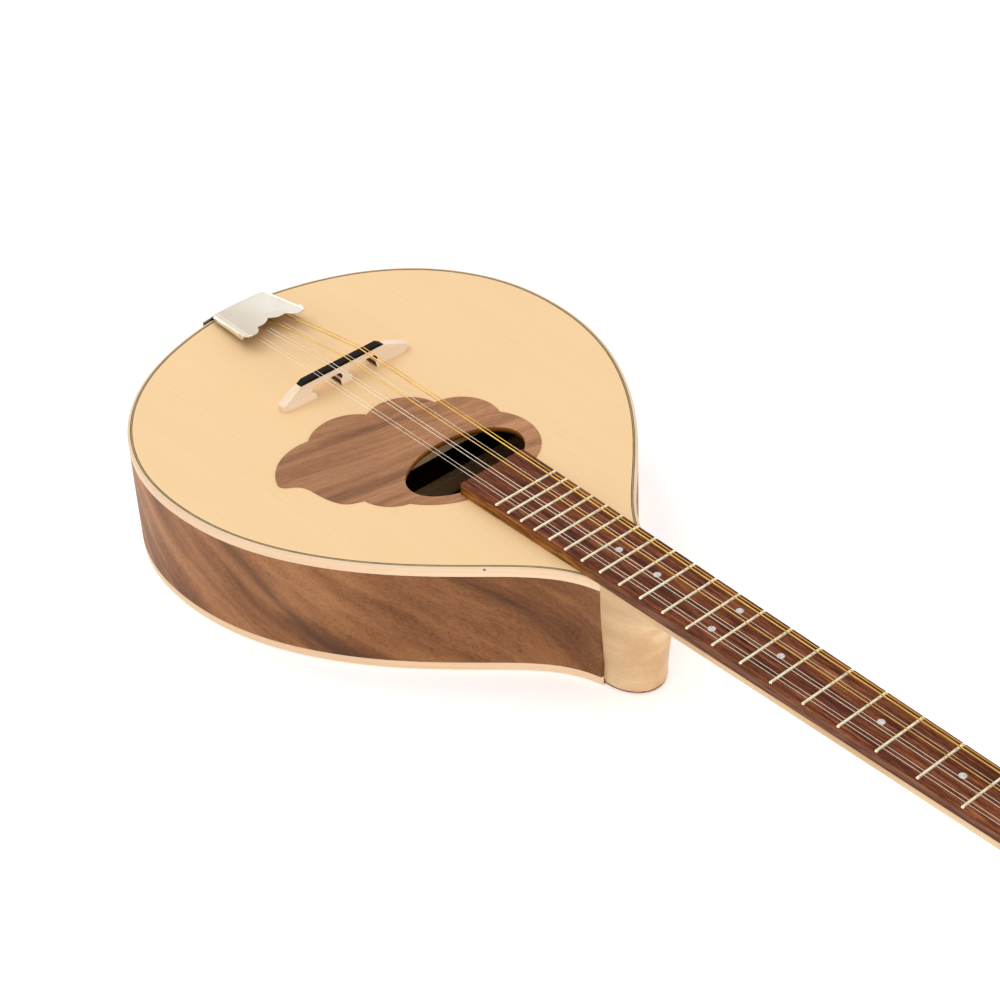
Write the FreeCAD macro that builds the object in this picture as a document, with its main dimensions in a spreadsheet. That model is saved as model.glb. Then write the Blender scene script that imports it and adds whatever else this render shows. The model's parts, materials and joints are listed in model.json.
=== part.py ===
"""Flat-backed teardrop octave mandola with a long neck and four double courses of strings.

Frame: +X runs from the tail to the headstock, +Y to the bass side and +Z up, out of the soundboard.
The origin lies on the outer face of the back, straight under the bridge saddle, so the nut is one
scale length along +X.  Sizes are millimetres.
"""
import FreeCAD, Part
import math
import os
import Sketcher

from FreeCAD import Placement, Rotation, Vector

doc = FreeCAD.newDocument("octave_mandola")

# ---------------------------------------------------------------- driving dimensions
SIZES = {
    "scale_length": 650.0,
    # body shell
    "body_depth": 76.5,
    "neck_joint_x": 258.0,
    "top_thickness": 3.0,
    "back_thickness": 2.8,
    "side_thickness": 2.4,
    "binding_thickness": 1.7,
    "top_binding_height": 6.2,
    "back_binding_height": 5.8,
    "purfling_width": 1.5,
    "purfling_depth": 1.0,
    "lining_width": 5.0,
    "lining_height": 10.0,
    "block_length": 44.0,
    "tail_block_length": 18.0,
    "tail_block_width": 70.0,
    "brace_width": 6.0,
    "top_brace_height": 10.0,
    "back_brace_height": 12.0,
    # sound hole and guard
    "hole_centre_x": 120.0,
    "hole_centre_y": -1.5,
    "hole_half_length": 25.0,
    "hole_half_width": 42.0,
    "guard_thickness": 0.5,
    # neck, fingerboard and frets
    "nut_width": 33.2,
    "board_end_x": 142.5,
    "board_end_width": 49.5,
    "board_end_height": 8.2,
    "board_nut_height": 5.4,
    "board_chamfer": 0.7,
    "board_overhang": 1.0,
    "neck_depth_nut": 13.5,
    "neck_depth_heel": 15.5,
    "heel_cap_thickness": 1.5,
    "tenon_length": 20.0,
    "tenon_width": 18.0,
    "fret_width": 2.0,
    "fret_height": 0.9,
    "fret_end_gap": 0.7,
    "tang_width": 0.6,
    "tang_depth": 1.6,
    "dot_diameter": 4.5,
    "dot_thickness": 1.5,
    "nut_thickness": 5.0,
    "nut_height": 6.8,
    "rod_diameter": 6.0,
    # bridge and strings
    "bridge_treble_length": 48.7,
    "bridge_bass_length": 52.0,
    "bridge_height": 10.9,
    "saddle_height": 2.2,
    "saddle_width": 4.8,
    "saddle_half_length": 34.0,
    # headstock and tuners
    "head_tilt": 12.0,
    "head_thickness": 14.5,
    "head_length": 132.0,
    "veneer_thickness": 1.5,
    "post_spacing": 25.0,
    "first_post": 26.0,
    "post_offset": 21.0,
    "post_radius": 3.0,
    "running_clearance": 0.06,
    "plate_thickness": 1.2,
    "gear_teeth": 14.0,
    "gear_module": 0.6,
    "gear_thickness": 2.4,
    "worm_radius": 2.5,
    "worm_core_radius": 1.4,
    "shaft_radius": 1.5,
    "worm_drop": 4.1,
    # tailpiece
    "tail_plate_thickness": 1.2,
    "tail_plate_gap": 0.3,
    "tail_plate_width": 39.0,
    "tail_skirt_width": 52.0,
    "cover_thickness": 0.8,
    "cover_tilt": 5.0,
    "cover_flange": 5.0,
    "screw_radius": 1.5,
}

sheet = doc.addObject("Spreadsheet::Sheet", "sizes")
for row, (alias, number) in enumerate(SIZES.items(), start=1):
    sheet.set("A%d" % row, alias)
    sheet.set("B%d" % row, str(number))
    sheet.setAlias("B%d" % row, alias)
doc.recompute()


def size(alias):
    return float(sheet.get(alias))


SCALE = size("scale_length")
TOP = size("body_depth")
JOINT_X = size("neck_joint_x")
BOARD_END_X = size("board_end_x")
SIDE = size("side_thickness")
BINDING = size("binding_thickness")
BACK = size("back_thickness")
TOP_UNDER = TOP - size("top_thickness")
HEAD_X = SCALE + size("nut_thickness")
FAR = 1000.0

# ---------------------------------------------------------------- document helpers
parts = []


def keep(obj, label):
    """Give a finished sub-part its node name and put it on the list to be written."""
    obj.Label = label
    parts.append(obj)
    return obj


def shaped(name, shape, placement=Placement()):
    """An object whose shape is set in code; its placement follows the shape."""
    obj = doc.addObject("Part::Feature", name)
    obj.Shape = shape
    obj.Placement = placement.multiply(shape.Placement)
    return obj


def feature(label, shape, placement=Placement()):
    return keep(shaped(label, shape, placement), label)


def bound(kind, name, placement=None, **expressions):
    """A Part primitive whose properties are bound to the sheet."""
    obj = doc.addObject(kind, name)
    if placement is not None:
        obj.Placement = placement
    for prop, expression in expressions.items():
        obj.setExpression(prop, expression)
    return obj


def cut(name, base, tool):
    obj = doc.addObject("Part::Cut", name)
    obj.Base = base
    obj.Tool = tool
    return obj


def origin_plane(body, role):
    return next(f for f in body.Origin.OriginFeatures if f.Role == role)


def rectangle(body, name, plane, left, bottom, width, height):
    """A sketch of one rectangle; each of its four measures is a number or an expression."""
    sketch = body.newObject("Sketcher::SketchObject", name)
    sketch.AttachmentSupport = [(origin_plane(body, plane), "")]
    sketch.MapMode = "FlatFace"
    corners = [Vector(0, 0), Vector(10, 0), Vector(10, 10), Vector(0, 10)]
    for start, end in zip(corners, corners[1:] + corners[:1]):
        sketch.addGeometry(Part.LineSegment(start, end), False)
    for line in range(4):
        sketch.addConstraint(Sketcher.Constraint("Coincident", line, 2, (line + 1) % 4, 1))
    for line, direction in enumerate(("Horizontal", "Vertical", "Horizontal", "Vertical")):
        sketch.addConstraint(Sketcher.Constraint(direction, line))
    measures = (
        ("DistanceX", (-1, 1, 0, 1), left),
        ("DistanceY", (-1, 1, 0, 1), bottom),
        ("DistanceX", (0, 1, 0, 2), width),
        ("DistanceY", (1, 1, 1, 2), height),
    )
    for kind, ends, measure in measures:
        index = sketch.addConstraint(Sketcher.Constraint(kind, *ends, 10.0))
        sketch.setExpression("Constraints[%d]" % index, str(measure))
    return sketch


def pad(body, sketch, length, reverse=False, midplane=False):
    obj = body.newObject("PartDesign::Pad", sketch.Name + "_pad")
    obj.Profile = sketch
    obj.setExpression("Length", str(length))
    obj.Reversed = reverse
    obj.Midplane = midplane
    return obj


def box(low, high):
    low, high = Vector(*low), Vector(*high)
    span = high - low
    return Part.makeBox(span.x, span.y, span.z, low)


def drum(radius, length, base, axis):
    return Part.makeCylinder(radius, length, Vector(*base), Vector(*axis))


def polygon_face(points):
    wire = Part.makePolygon([Vector(*p) for p in points] + [Vector(*points[0])])
    return Part.Face(wire)


def spline_edge(points, tangents=None):
    curve = Part.BSplineCurve()
    if tangents:
        curve.interpolate(Points=points, InitialTangent=tangents[0], FinalTangent=tangents[1])
    else:
        curve.interpolate(Points=points)
    return curve.toShape()


# ---------------------------------------------------------------- body outline
# Half outline from the tail's centre round the bass side to the neck, past the joint.
HALF_OUTLINE = [
    (-112.0, 0.0), (-105.3, 45.0), (-86.0, 89.7), (-53.5, 125.5), (-10.0, 147.3), (35.0, 152.4),
    (80.0, 145.4), (125.0, 125.6), (165.0, 96.8), (202.0, 61.0), (224.0, 39.7), (240.0, 28.6),
    (258.0, 21.9), (276.0, 19.4),
]
OUTLINE_SAMPLES = 72


def outline_points():
    bass = [Vector(x, y, 0) for x, y in HALF_OUTLINE]
    treble = [Vector(x, -y, 0) for x, y in HALF_OUTLINE[1:]]
    return treble[::-1] + bass


OUTLINE = Part.BSplineCurve()
OUTLINE.interpolate(Points=outline_points())


def offset_edge(inset):
    """The outline moved inwards by inset, as one smooth edge."""
    first, last = OUTLINE.FirstParameter, OUTLINE.LastParameter
    points = []
    for step in range(OUTLINE_SAMPLES + 1):
        at = first + (last - first) * step / OUTLINE_SAMPLES
        along = OUTLINE.tangent(at)[0]
        inward = Vector(along.y, -along.x, 0)
        points.append(OUTLINE.value(at) + inward * inset)
    return spline_edge(points)


def body_prism(inset, low, high):
    """Everything inside the outline, inset by a distance, between two heights, up to the neck joint."""
    edge = offset_edge(inset)
    ends = [v.Point for v in edge.Vertexes]
    closing = Part.makeLine(ends[1], ends[0])
    prism = Part.Face(Part.Wire([edge, closing])).extrude(Vector(0, 0, high - low))
    prism.translate(Vector(0, 0, low))
    return prism.common(box((-FAR, -FAR, low - 1), (JOINT_X, FAR, high + 1)))


def body_ring(outer, inner, low, high):
    return body_prism(outer, low, high).cut(body_prism(inner, low - 1, high + 1))


def ellipse_prism(low, high):
    ellipse = Part.Ellipse(Vector(0, 0, 0), size("hole_half_width"), size("hole_half_length"))
    face = Part.Face(Part.Wire(ellipse.toShape()))
    face.rotate(Vector(0, 0, 0), Vector(0, 0, 1), 90)
    face.translate(Vector(size("hole_centre_x"), size("hole_centre_y"), low))
    return face.extrude(Vector(0, 0, high - low))


# ---------------------------------------------------------------- fingerboard geometry
def board_half_width(x):
    share = (SCALE - x) / (SCALE - BOARD_END_X)
    return (size("nut_width") + (size("board_end_width") - size("nut_width")) * share) / 2


def board_height(x):
    share = (SCALE - x) / (SCALE - BOARD_END_X)
    return size("board_nut_height") + (size("board_end_height") - size("board_nut_height")) * share


def fret_x(number):
    return SCALE * 2 ** (-number / 12.0)


FRET_COUNT = 23
SINGLE_DOTS = (3, 5, 7, 10, 15, 17)
DOUBLE_DOT = 12
DOUBLE_DOT_Y = 10.8

# ---------------------------------------------------------------- string layout
# (course, diameter, side of its pair: -1 treble or +1 bass), from treble to bass.
STRINGS = [
    ("course_1", 0.30, -1), ("course_1", 0.30, 1),
    ("course_2", 0.40, -1), ("course_2", 0.40, 1),
    ("course_3_wound", 0.66, -1), ("course_3_plain", 0.32, 1),
    ("course_4", 0.96, -1), ("course_4", 0.56, 1),
]
COURSE_Y = {"hook": 4.65, "saddle": 6.12, "nut": 4.29}
PAIR_HALF = {"hook": 1.5, "saddle": 1.35, "nut": 1.2}
HOOK_X = -87.0
HOOK_Z = TOP + 5.1
WIND_HEIGHT = 6.5
SLOT_DEPTH = 0.15
SLOT_CLEARANCE = 0.03
# Strings leave the nut's flat land here and run down to the posts at about this angle.
NUT_LAND = 0.8
NUT_FALL = math.radians(11)
# Strings bend over the saddle near its back edge, a little more than a scale length from the nut.
SADDLE_BREAK_X = -1.5


def string_y(index, place):
    course = index // 2
    side = STRINGS[index][2]
    return COURSE_Y[place] * (2 * course - 3) + PAIR_HALF[place] * side


# ---------------------------------------------------------------- body shell
def make_body():
    hole = ellipse_prism(0, TOP + 5)
    rebate = TOP - size("purfling_depth")
    purfling_in = BINDING + size("purfling_width")
    plate = body_prism(BINDING, TOP_UNDER, rebate)
    plate = plate.fuse(body_prism(purfling_in, rebate, TOP)).removeSplitter()
    feature("soundboard", plate.cut(hole))
    feature("top_purfling", body_ring(BINDING, purfling_in, rebate, TOP))
    feature("top_binding", body_ring(0, BINDING, TOP - size("top_binding_height"), TOP))
    feature("back_binding", body_ring(0, BINDING, 0, size("back_binding_height")))
    feature("back_plate", body_prism(BINDING, 0, BACK))

    outer = body_ring(0, SIDE, size("back_binding_height"), TOP - size("top_binding_height"))
    inner = body_ring(BINDING, SIDE, BACK, TOP_UNDER)
    rim = outer.fuse(inner).removeSplitter().cut(Part.makeCompound(tail_screw_holes()))
    feature("side_bass", rim.common(box((-FAR, 0, -1), (FAR, FAR, TOP + 1))))
    feature("side_treble", rim.common(box((-FAR, -FAR, -1), (FAR, 0, TOP + 1))))


def make_inside():
    lining_in = SIDE + size("lining_width")
    block_x = JOINT_X - size("block_length")
    tail_x = HALF_OUTLINE[0][0] + SIDE + size("tail_block_length")
    half_tail = size("tail_block_width") / 2
    blocks = box((block_x, -FAR, -1), (FAR, FAR, TOP))
    blocks = blocks.fuse(box((-FAR, -half_tail, -1), (tail_x, half_tail, TOP)))
    lining_height = size("lining_height")
    feature("top_lining", body_ring(SIDE, lining_in, TOP_UNDER - lining_height, TOP_UNDER).cut(blocks))
    feature("back_lining", body_ring(SIDE, lining_in, BACK, BACK + lining_height).cut(blocks))

    inside = body_prism(SIDE, BACK, TOP_UNDER)
    neck_block = inside.common(box((block_x, -FAR, 0), (FAR, FAR, TOP))).cut(tenon_box())
    feature("neck_block", neck_block)
    tail_block = inside.common(box((-FAR, -half_tail, 0), (tail_x, half_tail, TOP)))
    feature("tail_block", tail_block.cut(Part.makeCompound(tail_screw_holes())))

    cavity = body_prism(lining_in, BACK, TOP_UNDER)
    half = size("brace_width") / 2
    top_low = TOP_UNDER - size("top_brace_height")
    back_high = BACK + size("back_brace_height")
    top_bars = [box((x - half, -FAR, top_low), (x + half, FAR, TOP_UNDER)) for x in TOP_BRACE_X]
    back_bars = [box((x - half, -FAR, BACK), (x + half, FAR, back_high)) for x in BACK_BRACE_X]
    feature("top_braces", Part.makeCompound([bar.common(cavity) for bar in top_bars]))
    feature("back_braces", Part.makeCompound([bar.common(cavity) for bar in back_bars]))


TOP_BRACE_X = (-52.0, 20.0, 88.0, 153.0)
BACK_BRACE_X = (-66.0, -3.0, 60.0, 118.0, 176.0)


def tenon_box():
    half = size("tenon_width") / 2
    return box((JOINT_X - size("tenon_length"), -half, 25.0), (JOINT_X, half, TOP_UNDER))


# ---------------------------------------------------------------- pickguard
# Corners where two scallops meet, each followed by the middle of the scallop that leaves it.
GUARD_SCALLOPS = [
    ((148.6, 22.5), (130.0, 48.7)), ((96.5, 46.5), (74.5, 45.0)), ((61.0, 24.4), (43.8, 14.5)),
    ((41.5, -13.6), (30.0, -37.0)), ((38.0, -56.5), (40.8, -79.0)),
]
GUARD_TIP = [(60.0, -96.6), (69.0, -89.4), (84.0, -85.0), (98.5, -81.3), (107.4, -69.0)]
GUARD_TAIL = [((107.4, -69.0), (120.6, -63.2)), ((128.0, -51.5), (142.0, -38.0)), ((150.5, -20.0), None)]


def make_pickguard():
    points = [Vector(x, y, 0) for corner_and_mid in GUARD_SCALLOPS for x, y in corner_and_mid]
    tip = [Vector(x, y, 0) for x, y in GUARD_TIP]
    points.append(tip[0])
    edges = [Part.Arc(*points[i:i + 3]).toShape() for i in range(0, len(points) - 2, 2)]
    edges.append(spline_edge(tip, (Vector(1, -0.2, 0), Vector(0.35, 1, 0))))
    for (start, middle), (end, _unused) in zip(GUARD_TAIL, GUARD_TAIL[1:]):
        arc = Part.Arc(Vector(*start, 0), Vector(*middle, 0), Vector(*end, 0))
        edges.append(arc.toShape())
    edges.append(Part.makeLine(Vector(*GUARD_TAIL[-1][0], 0), points[0]))
    plate = Part.Face(Part.Wire(edges)).extrude(Vector(0, 0, size("guard_thickness")))
    plate.translate(Vector(0, 0, TOP))
    board = box((BOARD_END_X, -board_half_width(BOARD_END_X), 0), (FAR, board_half_width(BOARD_END_X), FAR))
    feature("pickguard", plate.cut(ellipse_prism(0, TOP + 5)).cut(board))


# ---------------------------------------------------------------- neck with heel and headstock
HEEL_SECTIONS = [
    # height, half width, nose x
    (1.5, 18.9, 282.4), (16.0, 19.7, 283.6), (30.0, 20.6, 285.2), (43.0, 21.4, 287.8), (53.0, 21.8, 292.0),
    (60.0, 21.9, 300.0), (66.0, 21.9, 320.0),
]
HEAD_OUTLINE = [(-2.0, 17.0), (8.0, 21.0), (18.0, 33.5), (30.0, 35.0), (132.0, 31.5)]


def half_ellipse_wire(centre, across, deep):
    """A closed wire: a straight line across and a half ellipse on the side that deep points to."""
    start, middle, end = centre + across, centre + deep, centre - across
    points = []
    for step in range(17):
        turn = math.pi * step / 16
        points.append(centre + across * math.cos(turn) + deep * math.sin(turn))
    return Part.Wire([spline_edge(points), Part.makeLine(end, start)])


def heel_shape():
    wires = []
    for height, half, nose in HEEL_SECTIONS:
        centre = Vector(JOINT_X, 0, height)
        wires.append(half_ellipse_wire(centre, Vector(0, half, 0), Vector(nose - JOINT_X, 0, 0)))
    return Part.makeLoft(wires, True, False)


def shaft_shape():
    wires = []
    for share in (0.0, 0.35, 0.7, 1.0):
        x = JOINT_X + (HEAD_X - JOINT_X) * share
        half = board_half_width(min(x, SCALE)) - size("board_overhang") * (1 - share)
        deep = size("neck_depth_heel") + (size("neck_depth_nut") - size("neck_depth_heel")) * share
        wires.append(half_ellipse_wire(Vector(x, 0, TOP), Vector(0, half, 0), Vector(0, 0, -deep)))
    return Part.makeLoft(wires, True, False)


def head_prism(low, high, start=None):
    """The headstock's outline between two heights, in its own tilted frame."""
    bass = [Vector(u, v, 0) for u, v in HEAD_OUTLINE]
    treble = [Vector(u, -v, 0) for u, v in HEAD_OUTLINE]
    crown = Part.Arc(bass[-1], Vector(HEAD_OUTLINE[-1][0] + 5, 0, 0), treble[-1]).toShape()
    flare = spline_edge(bass[:4], (Vector(1, 0.1, 0), Vector(1, -0.03, 0)))
    mirror = spline_edge(treble[:4], (Vector(1, -0.1, 0), Vector(1, 0.03, 0)))
    edges = [
        flare, Part.makeLine(bass[3], bass[4]), crown, Part.makeLine(treble[4], treble[3]), mirror,
        Part.makeLine(treble[0], bass[0]),
    ]
    prism = Part.Face(Part.Wire(Part.__sortEdges__(edges))).extrude(Vector(0, 0, high - low))
    prism.translate(Vector(0, 0, low))
    if start is not None:
        prism = prism.cut(box((-FAR, -FAR, low - 1), (start, FAR, high + 1)))
    return prism


HEAD = Placement(Vector(HEAD_X, 0, TOP), Rotation(Vector(0, 1, 0), size("head_tilt")))


def head_point(u, v, w):
    return HEAD.multVec(Vector(u, v, w))


def post_places():
    """(number, u, v, index of the string it winds) for the eight posts, nearest the nut first."""
    places = []
    for rank in range(4):
        u = size("first_post") + rank * size("post_spacing")
        places.append((rank + 1, u, -size("post_offset"), rank))
        places.append((rank + 5, u, size("post_offset"), 7 - rank))
    return sorted(places)


def plate_screw_places():
    back_by = 10.0
    places = []
    for side in (-1, 1):
        for rank in range(5):
            u = size("first_post") + rank * size("post_spacing") - back_by
            places.append((u, side * size("post_offset")))
    return places


def make_neck():
    head = head_prism(-size("head_thickness"), 0)
    bores = [drum(4.5, 40, (u, v, -20), (0, 0, 1)) for _n, u, v, _s in post_places()]
    under = -size("head_thickness")
    screws = [drum(1.1, 8, (u, v, under - 0.5), (0, 0, 1)) for u, v in plate_screw_places()]
    head = head.cut(Part.makeCompound(bores)).cut(Part.makeCompound(screws))
    head.Placement = HEAD
    rod = size("rod_diameter")
    channel = box((JOINT_X + 12, -rod / 2, TOP - rod - 2), (SCALE - 14, rod / 2, TOP))
    below_board = box((-FAR, -FAR, -FAR), (FAR, FAR, TOP))
    solid = shaft_shape().fuse([heel_shape(), tenon_box()]).cut(channel)
    solid = solid.fuse(head).common(below_board).removeSplitter()
    feature("neck", solid)

    cap_centre = Vector(JOINT_X, 0, 0)
    across = Vector(0, HEEL_SECTIONS[0][1], 0)
    nose = Vector(HEEL_SECTIONS[0][2] - JOINT_X, 0, 0)
    cap = Part.Face(half_ellipse_wire(cap_centre, across, nose))
    feature("heel_cap", cap.extrude(Vector(0, 0, size("heel_cap_thickness"))))

    rod_start = Vector(JOINT_X + 14, 0, TOP - rod / 2 - 1)
    rod_obj = bound("Part::Cylinder", "truss_rod", Placement(rod_start, Rotation(Vector(0, 1, 0), 90)),
                    Radius="sizes.rod_diameter / 2", Height="sizes.scale_length - sizes.neck_joint_x - 32")
    keep(rod_obj, "truss_rod")

    veneer = head_prism(0, size("veneer_thickness"), start=0.0)
    feature("headstock_veneer", veneer.cut(Part.makeCompound(bores)), HEAD)


# ---------------------------------------------------------------- fingerboard, frets, dots, nut
def board_section(x):
    half, height, chamfer = board_half_width(x), board_height(x), size("board_chamfer")
    points = [
        (x, -half, 0), (x, half, 0), (x, half, height - chamfer), (x, half - chamfer, height),
        (x, -half + chamfer, height), (x, -half, height - chamfer),
    ]
    vectors = [Vector(px, py, TOP + pz) for px, py, pz in points]
    return Part.makePolygon(vectors + vectors[:1])


def fret_solid(x):
    """One fret: a low crown over a tang, straight across the board."""
    half_board = board_half_width(x) - size("fret_end_gap")
    level = TOP + board_height(x)
    half, crown = size("fret_width") / 2, size("fret_height")
    tang, depth = size("tang_width") / 2, size("tang_depth")
    left, right = Vector(x - half, -half_board, level), Vector(x + half, -half_board, level)
    arc = Part.Arc(left, Vector(x, -half_board, level + crown), right).toShape()
    under = [right, Vector(x + tang, -half_board, level), Vector(x + tang, -half_board, level - depth),
             Vector(x - tang, -half_board, level - depth), Vector(x - tang, -half_board, level), left]
    wire = Part.Wire([arc] + [Part.makeLine(a, b) for a, b in zip(under, under[1:])])
    return Part.Face(wire).extrude(Vector(0, 2 * half_board, 0))


def dot_solids():
    places = [(number, 0.0) for number in SINGLE_DOTS]
    places += [(DOUBLE_DOT, side * DOUBLE_DOT_Y) for side in (-1, 1)]
    dots = []
    for number, y in places:
        x = (fret_x(number) + fret_x(number - 1)) / 2
        base = TOP + board_height(x) - size("dot_thickness")
        dots.append(drum(size("dot_diameter") / 2, size("dot_thickness"), (x, y, base), (0, 0, 1)))
    return dots


def make_fingerboard():
    blank = Part.makeLoft([board_section(BOARD_END_X), board_section(SCALE)], True, True)
    frets = [fret_solid(fret_x(number)) for number in range(1, FRET_COUNT + 1)]
    dots = dot_solids()
    feature("fingerboard", blank.cut(Part.makeCompound(frets)).cut(Part.makeCompound(dots)))
    feature("frets", Part.makeCompound(frets))
    feature("position_dots", Part.makeCompound(dots))


def make_nut():
    """A block across the end of the board, falling away towards the head, with a slot for each string."""
    body = doc.addObject("PartDesign::Body", "nut_blank")
    body.Placement = Placement(Vector(SCALE, 0, TOP), Rotation())
    block = rectangle(body, "nut_section", "XZ_Plane", 0, 0, "sizes.nut_thickness", "sizes.nut_height")
    body.Tip = pad(body, block, "sizes.nut_width", midplane=True)
    level = TOP + size("nut_height")
    far_x, near_x = HEAD_X + 1, SCALE + NUT_LAND
    fall = (far_x - near_x) * math.tan(NUT_FALL)
    half = size("nut_width")
    wedge = polygon_face([(near_x, -half, level), (far_x, -half, level - fall),
                          (far_x, -half, level + 1), (near_x, -half, level + 1)])
    tools = [wedge.extrude(Vector(0, 2 * half, 0))] + string_slots()
    keep(cut("nut_cut", body, shaped("nut_slots", Part.makeCompound(tools))), "nut")


def string_slots():
    """Every string, a little fatter, to cut the slots that the strings lie in."""
    return [string_shape(index, SLOT_CLEARANCE) for index in range(len(STRINGS))]


# ---------------------------------------------------------------- bridge and saddle
BRIDGE_FRONT = 6.0
BRIDGE_BACK = -5.0
FOOT_EDGE = 23.7
CENTRE_FOOT = 4.5
ARCH_TOP = 7.6
SADDLE_X = 0.0


def arch_cutter(side):
    """The opening between the centre foot and one end foot, with a round notch at each upper corner."""
    low = box((-20, CENTRE_FOOT, -1), (20, FOOT_EDGE, ARCH_TOP))
    notch = 2.1
    upper = box((-20, CENTRE_FOOT, ARCH_TOP - 2 * notch), (20, FOOT_EDGE, ARCH_TOP))
    ends = [drum(notch, 40, (-20, y, ARCH_TOP - notch), (1, 0, 0)) for y in (CENTRE_FOOT, FOOT_EDGE)]
    cutter = low.fuse([upper] + ends)
    if side < 0:
        cutter = cutter.mirror(Vector(0, 0, 0), Vector(0, 1, 0))
    return cutter


def make_bridge():
    treble, bass, height = -size("bridge_treble_length"), size("bridge_bass_length"), size("bridge_height")
    shoulder = size("saddle_half_length") - 1.0
    tip = 3.6
    front_view = polygon_face([(-20, treble, 0), (-20, bass, 0), (-20, bass, tip), (-20, shoulder, height),
                               (-20, -shoulder, height), (-20, treble, tip)]).extrude(Vector(40, 0, 0))
    top_half = size("saddle_width") / 2
    section = polygon_face([(BRIDGE_BACK, -60, 0), (BRIDGE_FRONT, -60, 0),
                            (SADDLE_X + top_half + 0.2, -60, height),
                            (SADDLE_X - top_half - 0.2, -60, height)]).extrude(Vector(0, 120, 0))
    plan_points = [(BRIDGE_BACK, -30, -1), (-1.5, treble, -1), (3.8, treble, -1), (BRIDGE_FRONT, -43, -1),
                   (BRIDGE_FRONT, 46, -1), (3.8, bass, -1), (-1.5, bass, -1), (BRIDGE_BACK, 30, -1)]
    plan = polygon_face(plan_points).extrude(Vector(0, 0, 40))
    blank = front_view.common(section).common(plan)
    blank = blank.cut(arch_cutter(1)).cut(arch_cutter(-1))
    feature("bridge", blank, Placement(Vector(0, 0, TOP), Rotation()))

    low, high = height, height + size("saddle_height")
    top_end, low_end = size("saddle_half_length") - 2.2, size("saddle_half_length") - 1.0
    strip = polygon_face([(SADDLE_X - top_half, -low_end, low), (SADDLE_X - top_half, low_end, low),
                          (SADDLE_X - top_half, top_end, high), (SADDLE_X - top_half, -top_end, high)])
    strip = strip.extrude(Vector(2 * top_half, 0, 0))
    strip.translate(Vector(0, 0, TOP))
    feature("saddle", strip.cut(Part.makeCompound(string_slots())))


# ---------------------------------------------------------------- tailpiece
TAIL_X = HALF_OUTLINE[0][0]
TAIL_SCREWS = [(-12.0, 60.0), (12.0, 60.0), (-12.0, 36.0), (12.0, 36.0)]
TAIL_SCREW_X = TAIL_X - size("tail_plate_thickness")
SCREW_LENGTH = 13.5
SKIRT_LOW = 24.0
HOOK_LEVEL = 3.2


def tail_screw_holes():
    """Bores for the screws, open outwards and as deep as the screws are long."""
    mouth = 6.0
    radius, depth = size("screw_radius"), mouth + SCREW_LENGTH
    return [drum(radius, depth, (TAIL_SCREW_X - mouth, y, z), (1, 0, 0)) for y, z in TAIL_SCREWS]


def tail_plate():
    """A skirt that follows the rim, and a narrower tongue bent over its edge to carry the hooks."""
    thick, gap = size("tail_plate_thickness"), size("tail_plate_gap")
    outside = TAIL_X - gap - thick
    path = [(outside, TOP - 8.0), (outside, TOP - 1.5), (-108.0, TOP + 5.0),
            (HOOK_X - 2, TOP + HOOK_LEVEL), (HOOK_X + 3, TOP + HOOK_LEVEL)]
    inward = [(thick, 0), (thick, -0.4), (0.4, -thick), (0, -thick), (0, -thick)]
    inner = [(x + dx, z + dz) for (x, z), (dx, dz) in zip(path, inward)]
    half = size("tail_plate_width") / 2
    outline = [(x, -half, z) for x, z in path + inner[::-1]]
    tongue = polygon_face(outline).extrude(Vector(0, 2 * half, 0))
    skirt_half = size("tail_skirt_width") / 2
    skirt = body_ring(-gap - thick, -gap, SKIRT_LOW, TOP + 1.0)
    skirt = skirt.common(box((-FAR, -skirt_half, 0), (0, skirt_half, FAR)))
    plate = tongue.fuse(skirt).removeSplitter().cut(body_prism(-gap / 2, 0, TOP))
    return plate.cut(Part.makeCompound(tail_screw_holes()))


def make_tailpiece():
    hooks = []
    for index in range(len(STRINGS)):
        base = (HOOK_X, string_y(index, "hook"), TOP + HOOK_LEVEL - size("tail_plate_thickness"))
        hooks.append(drum(0.9, 4.6, base, (0, 0, 1)))
    plate = tail_plate().fuse(hooks)
    feature("tailpiece_base", plate)

    screws = []
    for y, z in TAIL_SCREWS:
        shank = drum(size("screw_radius"), SCREW_LENGTH, (TAIL_SCREW_X, y, z), (1, 0, 0))
        ball = Part.makeSphere(3.4, Vector(TAIL_SCREW_X + 1.6, y, z))
        outer_half = box((TAIL_SCREW_X - 4, -FAR, 0), (TAIL_SCREW_X + 1, FAR, FAR))
        head = ball.common(outer_half).cut(plate)
        screws.append(shank.fuse(head))
    feature("tailpiece_screws", Part.makeCompound(screws))
    make_cover()


# The cover in its own sloping plane: x forward from its back edge, y across.
COVER_BACK = Vector(-105.6, 0, TOP + 6.8)
COVER_LOBES = [
    # corner or lobe points of the front edge, centre to side
    ((31.5, 0.0), (35.2, 5.2)), ((35.4, 12.0), (42.0, 18.5)), ((37.4, 24.6), None),
]


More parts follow.
